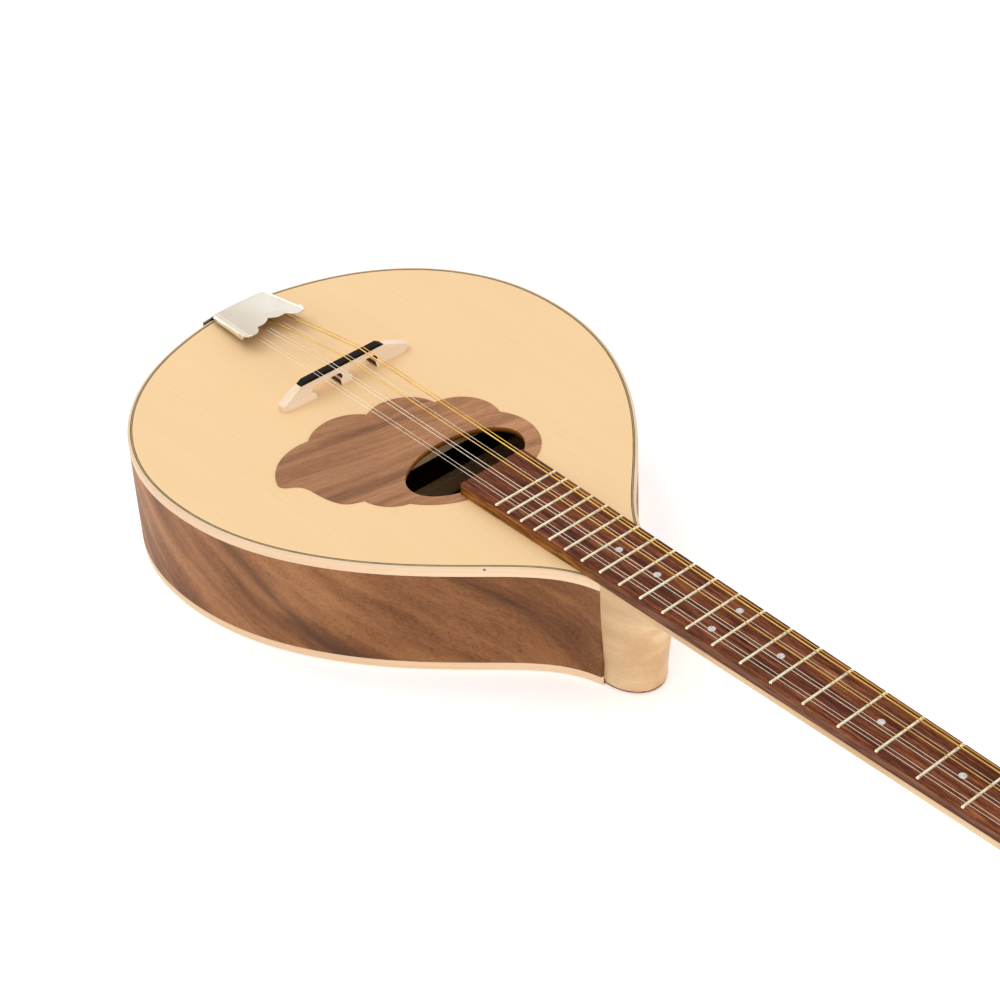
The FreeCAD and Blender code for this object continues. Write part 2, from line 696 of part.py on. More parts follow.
def make_cover():
    back_half, front_half = 21.0, 24.8
    thick, drop = size("cover_thickness"), size("cover_flange")
    edges = []
    for side in (-1, 1):
        for (start, middle), (end, _last) in zip(COVER_LOBES, COVER_LOBES[1:]):
            points = [Vector(x, side * y, 0) for x, y in (start, middle, end)]
            edges.append(Part.Arc(*points).toShape())
    corner = COVER_LOBES[-1][0]
    for side in (-1, 1):
        edges.append(Part.makeLine(Vector(corner[0], side * corner[1], 0), Vector(0, side * back_half, 0)))
    edges.append(Part.makeLine(Vector(0, -back_half, 0), Vector(0, back_half, 0)))
    plate = Part.Face(Part.Wire(Part.__sortEdges__(edges))).extrude(Vector(0, 0, thick))
    flanges = []
    for side in (-1, 1):
        start, end = Vector(0, side * back_half, thick), Vector(33.5, side * (front_half - 0.45), thick)
        along = (end - start).normalize()
        inward = Vector(along.y, -along.x, 0) * (side * thick)
        base = polygon_face([tuple(p) for p in (start, end, end + inward, start + inward)])
        flanges.append(base.extrude(Vector(0, 0, -drop)))
    shape = plate.fuse(flanges).removeSplitter()
    feature("tailpiece_cover", shape, Placement(COVER_BACK, Rotation(Vector(0, 1, 0), -size("cover_tilt"))))


# ---------------------------------------------------------------- tuning machines
PITCH_RADIUS = size("gear_teeth") * size("gear_module") / 2
WORM_PITCH = math.pi * size("gear_module")
CENTRE_DISTANCE = PITCH_RADIUS + 2.1
PLATE_W = -size("head_thickness") - size("plate_thickness")
WORM_W = -size("head_thickness") - size("worm_drop")
EAR_OFFSET = 6.0
EAR_THICKNESS = 1.2
BUTTON_START = 16.5


def gear_blank():
    """Gear teeth thinner than their gaps, so that they run free in the worm at every angle."""
    teeth = int(size("gear_teeth"))
    outer, root = PITCH_RADIUS + 0.4, PITCH_RADIUS - 0.75
    step = 2 * math.pi / teeth
    points = []
    for tooth in range(teeth):
        centre = (tooth + 0.5) * step
        for radius, share in ((root, -0.24), (outer, -0.10), (outer, 0.10), (root, 0.24)):
            angle = centre + share * step
            points.append((radius * math.cos(angle), radius * math.sin(angle), 0))
    return polygon_face(points).extrude(Vector(0, 0, size("gear_thickness")))


def post_shape(diameter):
    """Post with its gear, the gear's screw and the string wound on it, as separate solids."""
    gear_low = WORM_W - size("gear_thickness") / 2
    gear_high = gear_low + size("gear_thickness")
    radius = size("post_radius")
    top = 13.0
    post = drum(radius, top - gear_high, (0, 0, gear_high), (0, 0, 1))
    post = post.fuse(drum(1.6, size("gear_thickness"), (0, 0, gear_low), (0, 0, 1)))
    post = post.cut(drum(0.7, 20, (-10, 0, WIND_HEIGHT + 2.2), (1, 0, 0)))
    gear = gear_blank()
    gear.translate(Vector(0, 0, gear_low))
    gear = gear.cut(drum(1.6, 10, (0, 0, gear_low - 5), (0, 0, 1)))
    screw = drum(2.3, 1.0, (0, 0, gear_low - 1.0), (0, 0, 1))
    screw = screw.cut(box((-3, -0.3, gear_low - 1.2), (3, 0.3, gear_low - 0.5)))
    turns = 3
    coil = drum(radius + diameter, turns * diameter, (0, 0, WIND_HEIGHT), (0, 0, 1))
    coil = coil.cut(drum(radius, 30, (0, 0, 0), (0, 0, 1)))
    return Part.makeCompound([post, gear, screw, coil])


def worm_shape():
    """Worm and shaft along +Y, with the middle of its thread over the post's axis at y = 0."""
    turns = 4
    length = turns * WORM_PITCH
    outer, core = size("worm_radius"), size("worm_core_radius")
    helix = Part.makeHelix(WORM_PITCH, length, core)
    flat, flank = 0.16 * WORM_PITCH, 0.27 * WORM_PITCH
    profile = Part.makePolygon([Vector(core - 0.1, 0, -flank), Vector(outer, 0, -flat / 2),
                                Vector(outer, 0, flat / 2), Vector(core - 0.1, 0, flank),
                                Vector(core - 0.1, 0, -flank)])
    sweep = Part.BRepOffsetAPI.MakePipeShell(helix)
    sweep.setFrenetMode(True)
    sweep.add(profile)
    sweep.build()
    sweep.makeSolid()
    thread = sweep.shape()
    thread.translate(Vector(0, 0, -length / 2))
    inner_end, outer_end = -EAR_OFFSET - EAR_THICKNESS - 0.4, BUTTON_START + 8
    shaft = drum(size("shaft_radius"), outer_end - inner_end, (0, 0, inner_end), (0, 0, 1))
    neck_gap = EAR_OFFSET - EAR_THICKNESS
    core_cut = drum(5, 2 * neck_gap, (0, 0, -neck_gap), (0, 0, 1))
    waist = drum(core, 2 * neck_gap, (0, 0, -neck_gap), (0, 0, 1))
    collar = drum(2.3, 0.9, (0, 0, inner_end - 0.9), (0, 0, 1))
    solid = shaft.cut(core_cut).fuse([waist, collar, thread])
    # The thread meets the gear on its -X side, where a turn's crest lies at the middle of the worm.
    solid.rotate(Vector(0, 0, 0), Vector(0, 0, 1), 180)
    solid.rotate(Vector(0, 0, 0), Vector(1, 0, 0), -90)
    return solid


def worm_placement(u, v):
    """The worm's own frame carried to one post; on the treble side it points the other way."""
    local = Placement(Vector(u + CENTRE_DISTANCE, v, WORM_W), Rotation())
    if v < 0:
        local = local.multiply(Placement(Vector(), Rotation(Vector(1, 0, 0), 180)))
    return HEAD.multiply(local)


def make_tuners():
    worm = worm_shape()
    for number, u, v, string in sorted(post_places()):
        diameter = STRINGS[string][1]
        post_place = HEAD.multiply(Placement(Vector(u, v, 0), Rotation()))
        feature("tuner_post_%d" % number, post_shape(diameter), post_place)
        feature("tuner_worm_%d" % number, worm.copy(), worm_placement(u, v))
        make_button(number, worm_placement(u, v))
    make_plates()
    rings = []
    screws = []
    for _number, u, v, _string in post_places():
        sleeve_low, sleeve_high = -8.0, size("veneer_thickness") + 1.6
        sleeve = drum(4.5, sleeve_high - sleeve_low, (u, v, sleeve_low), (0, 0, 1))
        collar = drum(6.0, 1.2, (u, v, size("veneer_thickness")), (0, 0, 1))
        bore = drum(size("post_radius") + size("running_clearance"), 40, (u, v, -20), (0, 0, 1))
        rings.append(sleeve.fuse(collar).cut(bore))
    for u, v in plate_screw_places():
        shank = drum(1.1, 7.5 + size("plate_thickness"), (u, v, PLATE_W), (0, 0, 1))
        head = Part.makeSphere(2.6, Vector(u, v, PLATE_W + 1.4)).common(box((u - 5, v - 5, PLATE_W - 5),
                                                                          (u + 5, v + 5, PLATE_W)))
        screws.append(shank.fuse(head))
    feature("tuner_bushings", Part.makeCompound(rings), HEAD)
    feature("tuner_screws", Part.makeCompound(screws), HEAD)


def make_button(number, placement):
    """A flattened oval knob, bored for the end of its shaft."""
    name = "button_%d" % number
    knob = bound("Part::Ellipsoid", name + "_knob")
    knob.Radius1, knob.Radius2, knob.Radius3 = 4.2, 8.0, 6.6
    knob.Placement = Placement(Vector(0, BUTTON_START + 6.4, 0), Rotation())
    bore = bound("Part::Cylinder", name + "_bore", Placement(Vector(0, BUTTON_START - 4, 0),
                 Rotation(Vector(1, 0, 0), -90)), Radius="sizes.shaft_radius")
    bore.Height = 12.0
    button = cut(name + "_cut", knob, bore)
    button.Placement = placement
    keep(button, "tuner_button_%d" % number)


def make_plates():
    """One strip for each side, with two bored ears for every worm."""
    run = size("first_post") - 16.0, size("first_post") + 4 * size("post_spacing") - 4.0
    clearance = size("running_clearance")
    for side, label in ((1, "tuner_plate_bass"), (-1, "tuner_plate_treble")):
        centre = side * size("post_offset")
        body = doc.addObject("PartDesign::Body", label + "_strip")
        strip = rectangle(body, label + "_sketch", "XY_Plane", run[0], centre - 8.2, run[1] - run[0], 16.4)
        body.Tip = pad(body, strip, "sizes.plate_thickness")
        doc.recompute()
        base = body.Shape.copy()
        base.translate(Vector(0, 0, PLATE_W))
        ears, holes = [], []
        for _number, u, v, _string in post_places():
            if v * side < 0:
                continue
            worm_u = u + CENTRE_DISTANCE
            for offset in (-EAR_OFFSET, EAR_OFFSET):
                ear_low = v + offset - EAR_THICKNESS / 2
                low_corner = (worm_u - 3, ear_low, WORM_W - 3)
                ears.append(box(low_corner, (worm_u + 3, ear_low + EAR_THICKNESS, PLATE_W)))
            holes.append(drum(size("shaft_radius") + clearance, 30, (worm_u, v - 15, WORM_W), (0, 1, 0)))
            holes.append(drum(size("post_radius") + clearance, 30, (u, v, -30), (0, 0, 1)))
        holes += [drum(1.1, 30, (u, v, -30), (0, 0, 1)) for u, v in plate_screw_places()]
        feature(label, base.fuse(ears).cut(Part.makeCompound(holes)), HEAD)


# ---------------------------------------------------------------- strings
def rod_between(start, end, radius):
    return Part.makeCylinder(radius, (end - start).Length, start, end - start)


def string_shape(index, extra=0.0):
    """One string from its hook over saddle and nut to its post, fatter by extra all round."""
    radius = STRINGS[index][1] / 2
    saddle_z = TOP + size("bridge_height") + size("saddle_height") - SLOT_DEPTH + radius
    nut_z = TOP + size("nut_height") - SLOT_DEPTH + radius
    hook = Vector(HOOK_X + 1.1 + radius, string_y(index, "hook"), HOOK_Z)
    saddle = Vector(SADDLE_BREAK_X, string_y(index, "saddle"), saddle_z)
    nut = Vector(SCALE + NUT_LAND, string_y(index, "nut"), nut_z)
    _number, u, v, _string = next(p for p in post_places() if p[3] == index)
    inner = v - math.copysign(size("post_radius") + radius, v)
    goal = head_point(u, inner, WIND_HEIGHT + radius)
    end = goal + (nut - goal).normalize() * (2.4 + 3 * radius)
    points = [hook, saddle, nut, end]
    loop = Part.makeTorus(1.0 + radius, radius + extra, Vector(HOOK_X, hook.y, HOOK_Z), Vector(0, 0, 1))
    pieces = [rod_between(a, b, radius + extra) for a, b in zip(points, points[1:])]
    pieces += [Part.makeSphere(radius + extra, point) for point in points[1:-1]]
    return pieces[0].fuse(pieces[1:] + [loop])


def make_strings():
    groups = {}
    for index, (course, _diameter, _side) in enumerate(STRINGS):
        groups.setdefault(course, []).append(string_shape(index))
    for course, shapes in groups.items():
        feature(course, Part.makeCompound(shapes))


# ---------------------------------------------------------------- build, check, write
make_body()
make_inside()
make_pickguard()
make_neck()
make_fingerboard()
make_nut()
make_bridge()
make_tailpiece()
make_tuners()
make_strings()
doc.recompute()

for obj in doc.Objects:
    bad = [state for state in obj.State if state in ("Invalid", "Error")]
    if bad:
        raise RuntimeError("%s is %s" % (obj.Label, bad))
os.makedirs("parts", exist_ok=True)
for obj in parts:
    shape = obj.Shape
    if shape.isNull() or not shape.isValid() or not shape.Solids:
        raise RuntimeError("%s has no valid solid" % obj.Label)
for obj in parts:
    obj.Shape.exportStep("parts/%s.step" % obj.Label)
print(len(parts), "sub-parts written")
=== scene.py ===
"""Flat-backed octave mandola: its visible pieces and their materials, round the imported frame.

Everything is in metres, in the frame's axes: +X to the headstock, +Y to the bass side, +Z up.
"""
import json
from math import atan2, copysign, cos, dist, pi, radians, sin, sqrt

import bmesh
import bpy
import numpy as np
from mathutils import Matrix, Vector

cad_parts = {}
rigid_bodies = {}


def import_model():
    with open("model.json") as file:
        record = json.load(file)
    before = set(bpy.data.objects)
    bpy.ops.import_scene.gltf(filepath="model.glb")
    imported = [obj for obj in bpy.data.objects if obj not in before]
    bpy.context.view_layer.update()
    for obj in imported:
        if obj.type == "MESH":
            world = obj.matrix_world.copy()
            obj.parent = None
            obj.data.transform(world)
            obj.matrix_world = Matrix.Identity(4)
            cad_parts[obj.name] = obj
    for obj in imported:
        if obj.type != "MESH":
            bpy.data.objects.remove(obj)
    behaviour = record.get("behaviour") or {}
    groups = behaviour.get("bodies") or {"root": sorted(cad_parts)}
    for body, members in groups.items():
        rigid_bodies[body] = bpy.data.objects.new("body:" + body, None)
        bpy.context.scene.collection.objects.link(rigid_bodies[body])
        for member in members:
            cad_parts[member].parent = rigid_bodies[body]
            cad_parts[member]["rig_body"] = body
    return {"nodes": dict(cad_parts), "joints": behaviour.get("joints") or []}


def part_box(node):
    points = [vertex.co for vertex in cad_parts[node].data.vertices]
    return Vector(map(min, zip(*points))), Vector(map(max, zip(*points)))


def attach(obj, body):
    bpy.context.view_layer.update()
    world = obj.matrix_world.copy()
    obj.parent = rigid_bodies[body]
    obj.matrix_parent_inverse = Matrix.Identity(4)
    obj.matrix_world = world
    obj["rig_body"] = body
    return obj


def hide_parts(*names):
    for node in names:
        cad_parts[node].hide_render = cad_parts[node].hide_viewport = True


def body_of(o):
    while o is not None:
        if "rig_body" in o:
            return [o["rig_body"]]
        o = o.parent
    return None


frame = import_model()
scene = bpy.context.scene
cad = frame["nodes"]
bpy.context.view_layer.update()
MM = 0.001

# ---- places read from the frame
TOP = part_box("soundboard")[1].z
JOINT_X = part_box("side_bass")[1].x
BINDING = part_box("back_plate")[0].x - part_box("back_binding")[0].x
TOP_BINDING_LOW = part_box("top_binding")[0].z
BACK_BINDING_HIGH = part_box("back_binding")[1].z
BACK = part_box("back_plate")[1].z
TOP_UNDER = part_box("soundboard")[0].z
BOARD_LOW, BOARD_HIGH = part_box("fingerboard")
NUT_LOW, NUT_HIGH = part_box("nut")
SADDLE_LOW, SADDLE_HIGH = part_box("saddle")
SCALE = NUT_LOW.x
HEAD_X = NUT_HIGH.x
SIDE = 2.4 * MM
PURFLING = 1.5 * MM
PIN_KNOT = (69 * MM, TOP - 1 * MM)
RIB_TAIL = 520 * MM
joints = {joint["name"]: joint for joint in frame["joints"]}
HEAD_UP = Vector(joints["post_turn_1"]["axis"])
HEAD_ALONG = Vector((0, 1, 0)).cross(HEAD_UP)


def head_point(u, v, w):
    """A point of the tilted headstock: along it, across it and up out of its face."""
    return Vector((HEAD_X, 0, TOP)) + HEAD_ALONG * u + Vector((0, v, 0)) + HEAD_UP * w


def head_place(point):
    """The same three numbers for a point of the frame."""
    from_corner = Vector(point) - Vector((HEAD_X, 0, TOP))
    return from_corner.dot(HEAD_ALONG), from_corner.y, from_corner.dot(HEAD_UP)


# ---- materials
def srgb(red, green, blue):
    """A colour given as eight-bit screen values, as the linear values that a shader takes."""
    return tuple(((c / 255 + 0.055) / 1.055) ** 2.4 for c in (red, green, blue)) + (1.0,)


class Tree:
    """A node tree, and short calls that add nodes to it."""

    def __init__(self, tree):
        self.tree = tree

    def node(self, kind, settings=(), **inputs):
        made = self.tree.nodes.new("ShaderNode" + kind)
        for name, value in dict(settings).items():
            setattr(made, name, value)
        for name, value in inputs.items():
            self.feed(made.inputs[name.replace("_", " ")], value)
        return made

    def feed(self, socket, value):
        if isinstance(value, bpy.types.NodeSocket):
            self.tree.links.new(value, socket)
        else:
            socket.default_value = value

    def maths(self, operation, first, second=0.0, kind="Math"):
        made = self.node(kind, {"operation": operation})
        self.feed(made.inputs[0], first)
        self.feed(made.inputs[1], second)
        return made.outputs[0]

    def vector_maths(self, operation, first, second):
        return self.maths(operation, first, second, "VectorMath")

    def varied(self, base, pattern, amount):
        """A base value raised by up to amount where the pattern is strong."""
        return self.maths("ADD", base, self.maths("MULTIPLY", pattern, amount))

    def part(self, vector, axis):
        """One coordinate of a vector."""
        return self.node("SeparateXYZ", Vector=vector).outputs[axis]

    def facing(self, axis):
        """One coordinate of the direction that the surface faces."""
        return self.part(self.node("NewGeometry").outputs["Normal"], axis)

    def upright(self):
        """1 on walls and 0 on faces that look straight up or down."""
        return self.maths("SUBTRACT", 1.0, self.maths("ABSOLUTE", self.facing("Z")))

    def coordinates(self, uv=False, turn=0.0, mirror=False):
        """Object coordinates or the piece's own grain map, turned about Z by degrees.

        Mirrored ones are the same on both sides of y = 0.
        """
        if uv:
            out = self.node("UVMap", {"uv_map": "grain"}).outputs["UV"]
        else:
            out = self.node("TexCoord").outputs["Object"]
        if mirror:
            across = self.maths("ABSOLUTE", self.part(out, "Y"))
            out = self.node("CombineXYZ", X=self.part(out, "X"), Y=across,
                            Z=self.part(out, "Z")).outputs[0]
        if turn:
            turned = (0, 0, radians(turn))
            out = self.node("Mapping", Vector=out, Rotation=turned).outputs[0]
        return out

    def waves(self, vector, scales, detail, roughness=0.5):
        """A noise texture whose patches are 1 / scales metres long on each axis."""
        vector = self.vector_maths("MULTIPLY", vector, scales)
        return self.node("TexNoise", Vector=vector, Scale=1.0, Detail=detail, Roughness=roughness)

    def noise(self, vector, scales, detail=2.0, roughness=0.5):
        return self.waves(vector, scales, detail, roughness).outputs["Fac"]

    def warped(self, vector, scales, reach):
        """The coordinates pushed sideways by up to reach metres, in slow waves."""
        wave = self.waves(vector, scales, 1.0).outputs["Color"]
        centred = self.vector_maths("SUBTRACT", wave, (0.5, 0.5, 0.5))
        push = self.vector_maths("MULTIPLY", centred, (reach * 2,) * 3)
        return self.vector_maths("ADD", vector, push)

    def ramp(self, value, stops):
        made = self.node("ValToRGB", Fac=value)
        elements = made.color_ramp.elements
        while len(elements) < len(stops):
            elements.new(0.5)
        for element, (place, colour) in zip(elements, stops):
            element.position = place
            element.color = colour
        return made.outputs["Color"]

    def tint(self, value, low, high, first, second, share=1.0):
        """The first colour, turning to the second as a value goes from low to high."""
        return self.mix(self.step(value, low, high), first, second, share)

    def step(self, value, low, high):
        """Rises smoothly from 0 at low to 1 at high."""
        return self.node("MapRange", {"interpolation_type": "SMOOTHSTEP"}, Value=value,
                         From_Min=low, From_Max=high).outputs["Result"]

    def mix(self, factor, first, second, share=1.0, blend="MIX"):
        """The first colour, with a share of the second laid over it where the factor is 1."""
        if share < 1:
            factor = self.maths("MULTIPLY", factor, share)
        made = self.node("Mix", {"data_type": "RGBA", "blend_type": blend})
        # The colour sockets go by number, because the node has others of the same names.
        for place, value in ((0, factor), (6, first), (7, second)):
            self.feed(made.inputs[place], value)
        return made.outputs[2]


class Look(Tree):
    """A material with one Principled shader."""

    def __init__(self, name, **sockets):
        self.material = bpy.data.materials.new(name)
        self.material.use_nodes = True
        super().__init__(self.material.node_tree)
        self.shader = self.tree.nodes["Principled BSDF"]
        for socket, value in sockets.items():
            self.shader.inputs[socket.replace("_", " ")].default_value = value

    def finish(self, colour, roughness=None, height=None, depth=0.0):
        self.feed(self.shader.inputs["Base Color"], colour)
        if roughness is not None:
            self.feed(self.shader.inputs["Roughness"], roughness)
        if height is not None:
            bump = self.node("Bump", Height=height, Distance=depth, Strength=1.0)
            self.feed(self.shader.inputs["Normal"], bump.outputs["Normal"])
        return self.material


def stops(*rows):
    """Stops of a colour ramp: each row is a place on it and an eight-bit screen colour."""
    return [(place, srgb(*colour)) for place, *colour in rows]


def wood(name, palette, uv=False, turn=0.0, mirror=False, warp=(2, 6, 6), warp_reach=0.004,
         bands=(2, 90, 90), fibres=(40, 1500, 1500), fibre_share=0.25, tone=(3, 9, 9),
         tone_share=0.3, pores=None, pore_colour=None, pore_share=0.5, roughness=0.45,
         depth=0.03 * MM, extra=None, shine=0.2):
    """Wood: slow bands, fine fibres and, if open, pores, all along the first coordinate."""
    look = Look(name, Specular_IOR_Level=shine)
    place = look.coordinates(uv, turn, mirror)
    bent = look.warped(place, warp, warp_reach)
    fibre = look.noise(bent, fibres, roughness=0.6)
    value = look.noise(bent, bands, detail=4.0, roughness=0.62)
    broad = look.noise(place, tone, detail=1.0)
    for pattern, share in ((fibre, fibre_share), (broad, tone_share)):
        value = look.maths("ADD", value, look.varied(-0.5 * share, pattern, share))
    colour = look.ramp(value, palette)
    height = fibre
    if pores:
        hollow = look.step(look.noise(bent, pores, detail=1.0), 0.62, 0.72)
        colour = look.mix(hollow, colour, pore_colour, pore_share)
        height = look.maths("SUBTRACT", fibre, hollow)
    if extra:
        colour = extra(look, place, colour)
    return look.finish(colour, look.varied(roughness - 0.06, fibre, 0.12), height, depth)


def spruce_wall(look, _place, colour):
    """The cut wall of the sound hole is burnt, darkest at its lower edge."""
    burnt = look.tint(look.part(look.coordinates(), "Z"), TOP_UNDER, TOP - 0.6 * MM,
                      srgb(84, 44, 16), srgb(176, 104, 34))
    return look.tint(look.upright(), 0.5, 0.9, colour, burnt)


def streaked(look, place, colour, dark, share, warp, reach, scales, high, detail=3.0):
    """Darker streaks that follow the grain, with soft edges."""
    pattern = look.noise(look.warped(place, warp, reach), scales, detail, 0.6)
    return look.tint(pattern, 0.52, high, colour, dark, share)


def walnut_blotch(look, place, colour):
    """A few broad streaks."""
    return streaked(look, place, colour, srgb(84, 54, 38), 0.72, (9, 16, 16), 0.03, (7, 34, 34),
                    0.74)


def rib_streaks_and_painted_shade(look, place, colour):
    """The ribs' streaks, and a painted shade that darkens them slowly from the tail towards the
    neck.
    """
    along = look.part(look.coordinates(uv=True), "X")
    apart = look.maths("ABSOLUTE", look.maths("SUBTRACT", along, RIB_TAIL))
    colour = walnut_blotch(look, place, colour)
    # Painted shade: the ribs darken away from the tail.
    return look.mix(look.step(apart, 0.20, 0.42), colour, srgb(224, 220, 214), blend="MULTIPLY")


def pin_knot(look, place, colour):
    """One small dark knot on the treble side's binding, near the neck."""
    apart = look.vector_maths("SUBTRACT", place, (*PIN_KNOT, 0.0))
    oval = look.vector_maths("MULTIPLY", apart, (0.7, 1.0, 1.0))
    distance = look.node("VectorMath", {"operation": "LENGTH"}, Vector=oval).outputs["Value"]
    return look.tint(distance, 0.9 * MM, 0.35 * MM, colour, srgb(96, 56, 30))


def faint_blotch(look, place, colour):
    """Streaks narrower than the ribs', and a slow darkening towards the treble side."""
    colour = streaked(look, place, colour, srgb(106, 68, 46), 0.6, (6, 16, 16), 0.014, (6, 60, 60),
                      0.70, detail=4.0)
    across = look.part(look.coordinates(), "Y")
    return look.tint(across, 40 * MM, -60 * MM, colour, srgb(122, 78, 52), 0.3)


def inner_face_painted_shade(look, place, colour):
    """The back's inner face is darker: partly raw wood, partly painted shade inside the body; its
    outer face is finished.
    """
    colour = walnut_blotch(look, place, colour)
    return look.tint(look.facing("Z"), 0.5, 0.9, colour, srgb(78, 52, 34))


def arch_painted_shade(look, _place, colour):
    """The walls of the bridge's arches, which face across the strings, are darkened with painted
    shade.
    """
    across = look.maths("ABSOLUTE", look.facing("Y"))
    from_middle = look.maths("ABSOLUTE", look.part(look.coordinates(), "Y"))
    inner = look.step(from_middle, 27.5 * MM, 27.0 * MM)
    dark = look.maths("MULTIPLY", look.step(across, 0.4, 0.8), inner)
    return look.mix(dark, colour, srgb(72, 42, 24))


def side_grain_and_painted_reflection(look, place, colour):
    """The board's walls are lighter: golden over the soundboard, a painted reflection of its warm
    light, plain beyond, dark at the hole.
    """
    along = look.part(look.coordinates(), "X")
    streak = look.step(look.noise(place, (34, 300, 420), detail=4.0, roughness=0.65), 0.38, 0.64)
    # Golden over the soundboard: a painted reflection of the soundboard's warm light.
    reflected_gold = look.mix(streak, srgb(104, 60, 24), srgb(182, 124, 54))
    plain = look.mix(streak, srgb(82, 46, 30), srgb(136, 88, 60))
    wall = look.tint(along, 250 * MM, 266 * MM, reflected_gold, plain)
    wall = look.tint(along, 145 * MM, 143 * MM, wall, srgb(60, 34, 20), 0.6)
    return look.tint(look.upright(), 0.6, 0.9, colour, wall, 0.85)


SPRUCE = stops((0.30, 245, 206, 154), (0.50, 247, 209, 158), (0.70, 249, 212, 162))
MAPLE = stops((0.30, 230, 193, 153), (0.52, 239, 206, 170), (0.72, 245, 215, 183))
NECK_MAPLE = stops((0.30, 204, 165, 121), (0.52, 218, 182, 139), (0.72, 229, 197, 156))
PALE_MAPLE = stops((0.30, 244, 216, 182), (0.52, 249, 224, 194), (0.72, 252, 230, 203))
WALNUT = stops((0.26, 96, 58, 34), (0.42, 136, 86, 50), (0.55, 166, 110, 68), (0.75, 196, 140, 94))
VENEER = stops((0.24, 138, 90, 57), (0.45, 172, 119, 79), (0.60, 193, 137, 95),
               (0.78, 213, 160, 117))
ROSEWOOD = stops((0.28, 52, 22, 11), (0.45, 96, 45, 24), (0.58, 130, 69, 38), (0.76, 168, 106, 62))
EBONY = stops((0.3, 14, 10, 7), (0.6, 30, 22, 15), (0.8, 52, 40, 27))
CAP = stops((0.3, 116, 68, 42), (0.7, 152, 96, 62))
WALNUT_PORE, VENEER_PORE = srgb(70, 42, 26), srgb(96, 60, 40)

spruce = wood(
    "spruce", SPRUCE, mirror=True, warp=(2, 3, 3), warp_reach=0.002, bands=(1.2, 900, 1),
    fibres=(160, 2600, 1), fibre_share=0.5, tone=(14, 40, 1), roughness=0.5, depth=0.008 * MM,
    extra=spruce_wall)
inner_spruce = wood("inner_spruce", SPRUCE, bands=(2, 500, 500), roughness=0.7)
maple = wood(
    "maple", NECK_MAPLE, warp=(6, 10, 10), warp_reach=0.008, bands=(9, 60, 60),
    fibres=(120, 1800, 1800), fibre_share=0.3, tone=(16, 30, 22), tone_share=0.6, roughness=0.42,
    depth=0.01 * MM)
binding_maple = wood(
    "binding_maple", MAPLE, uv=True, bands=(5, 260, 260), fibres=(150, 2200, 2200), fibre_share=0.3,
    roughness=0.42, depth=0.01 * MM, extra=pin_knot)
side_walnut = wood(
    "side_walnut", WALNUT, uv=True, turn=-34, warp=(7, 12, 12), warp_reach=0.022, bands=(7, 44, 44),
    fibres=(300, 2600, 2600), fibre_share=0.5, tone=(7, 12, 12), tone_share=0.6,
    pores=(600, 3200, 3200), pore_colour=WALNUT_PORE, pore_share=0.7, roughness=0.5, extra=rib_streaks_and_painted_shade)
back_walnut = wood(
    "back_walnut", WALNUT, mirror=True, turn=6, warp=(4, 8, 8), warp_reach=0.012, bands=(3, 80, 1),
    fibres=(60, 1500, 1), pores=(160, 2600, 1), pore_colour=WALNUT_PORE, roughness=0.46,
    extra=inner_face_painted_shade)
guard_veneer = wood(
    "guard_veneer", VENEER, turn=-78, warp=(7, 14, 14), warp_reach=0.007, bands=(6, 130, 1),
    fibres=(110, 1900, 1), fibre_share=0.55, pores=(300, 2600, 1), pore_colour=VENEER_PORE,
    pore_share=0.65, roughness=0.5, extra=faint_blotch)
head_veneer = wood(
    "head_veneer", VENEER, turn=4, bands=(4, 100, 1), fibres=(60, 1500, 1), pores=(160, 2600, 1),
    pore_colour=srgb(96, 66, 52), roughness=0.48)
rosewood = wood(
    "rosewood", ROSEWOOD, warp=(6, 20, 20), warp_reach=0.002, bands=(28, 460, 460),
    fibres=(180, 2600, 2600), fibre_share=0.5, tone=(10, 60, 60), pores=(330, 3000, 3000),
    pore_colour=srgb(22, 10, 6), pore_share=0.8, roughness=0.46, depth=0.04 * MM, extra=side_grain_and_painted_reflection,
    shine=0.12)
ebony = wood("ebony", EBONY, turn=90, bands=(10, 300, 300), roughness=0.5, shine=0.08)
dark_cap = wood("dark_cap", CAP, bands=(10, 300, 300))
bridge_maple = wood(
    "bridge_maple", PALE_MAPLE, turn=90, bands=(8, 260, 260), fibres=(120, 1900, 1900),
    roughness=0.55, extra=arch_painted_shade)


def painted_dim_reflection(look, place, colour):
    """The flat of the tailpiece cover is darker towards the treble side: a painted reflection of a
    dimmer part of the room.
    """
    flat = look.step(look.upright(), 0.12, 0.04)
    treble = look.step(look.part(place, "Y"), 16 * MM, -20 * MM)
    return look.mix(look.maths("MULTIPLY", treble, flat), colour, srgb(216, 204, 186), 0.9)


def metal(name, colour, dull, roughness=0.22, smudge=0.12, scratch=(900, 900, 900),
          depth=0.004 * MM, extra=None):
    """Plated or drawn metal with faint clouding, fine scratches and duller patches."""
    look = Look(name, Metallic=1.0)
    place = look.coordinates()
    cloud = look.noise(place, (70, 70, 70), detail=3.0)
    colour = look.tint(cloud, 0.38, 0.72, srgb(*colour), srgb(*dull))
    if extra:
        colour = extra(look, place, colour)
    rough = look.varied(roughness - 0.4 * smudge, cloud, smudge)
    return look.finish(colour, rough, look.noise(place, scratch), depth)


def polished(name, palette, scale, roughness=0.3, **sockets):
    """Bone, pearl or plastic: a smooth body with soft clouds of colour."""
    look = Look(name, Specular_IOR_Level=0.5, **sockets)
    place = look.warped(look.coordinates(), (60, 60, 60), 0.004)
    fine = look.noise(place, (1500, 1500, 1500), detail=1.0)
    colour = look.ramp(look.noise(place, scale, detail=3.0), palette)
    return look.finish(colour, look.varied(roughness - 0.04, fine, 0.08), fine, 0.006 * MM)


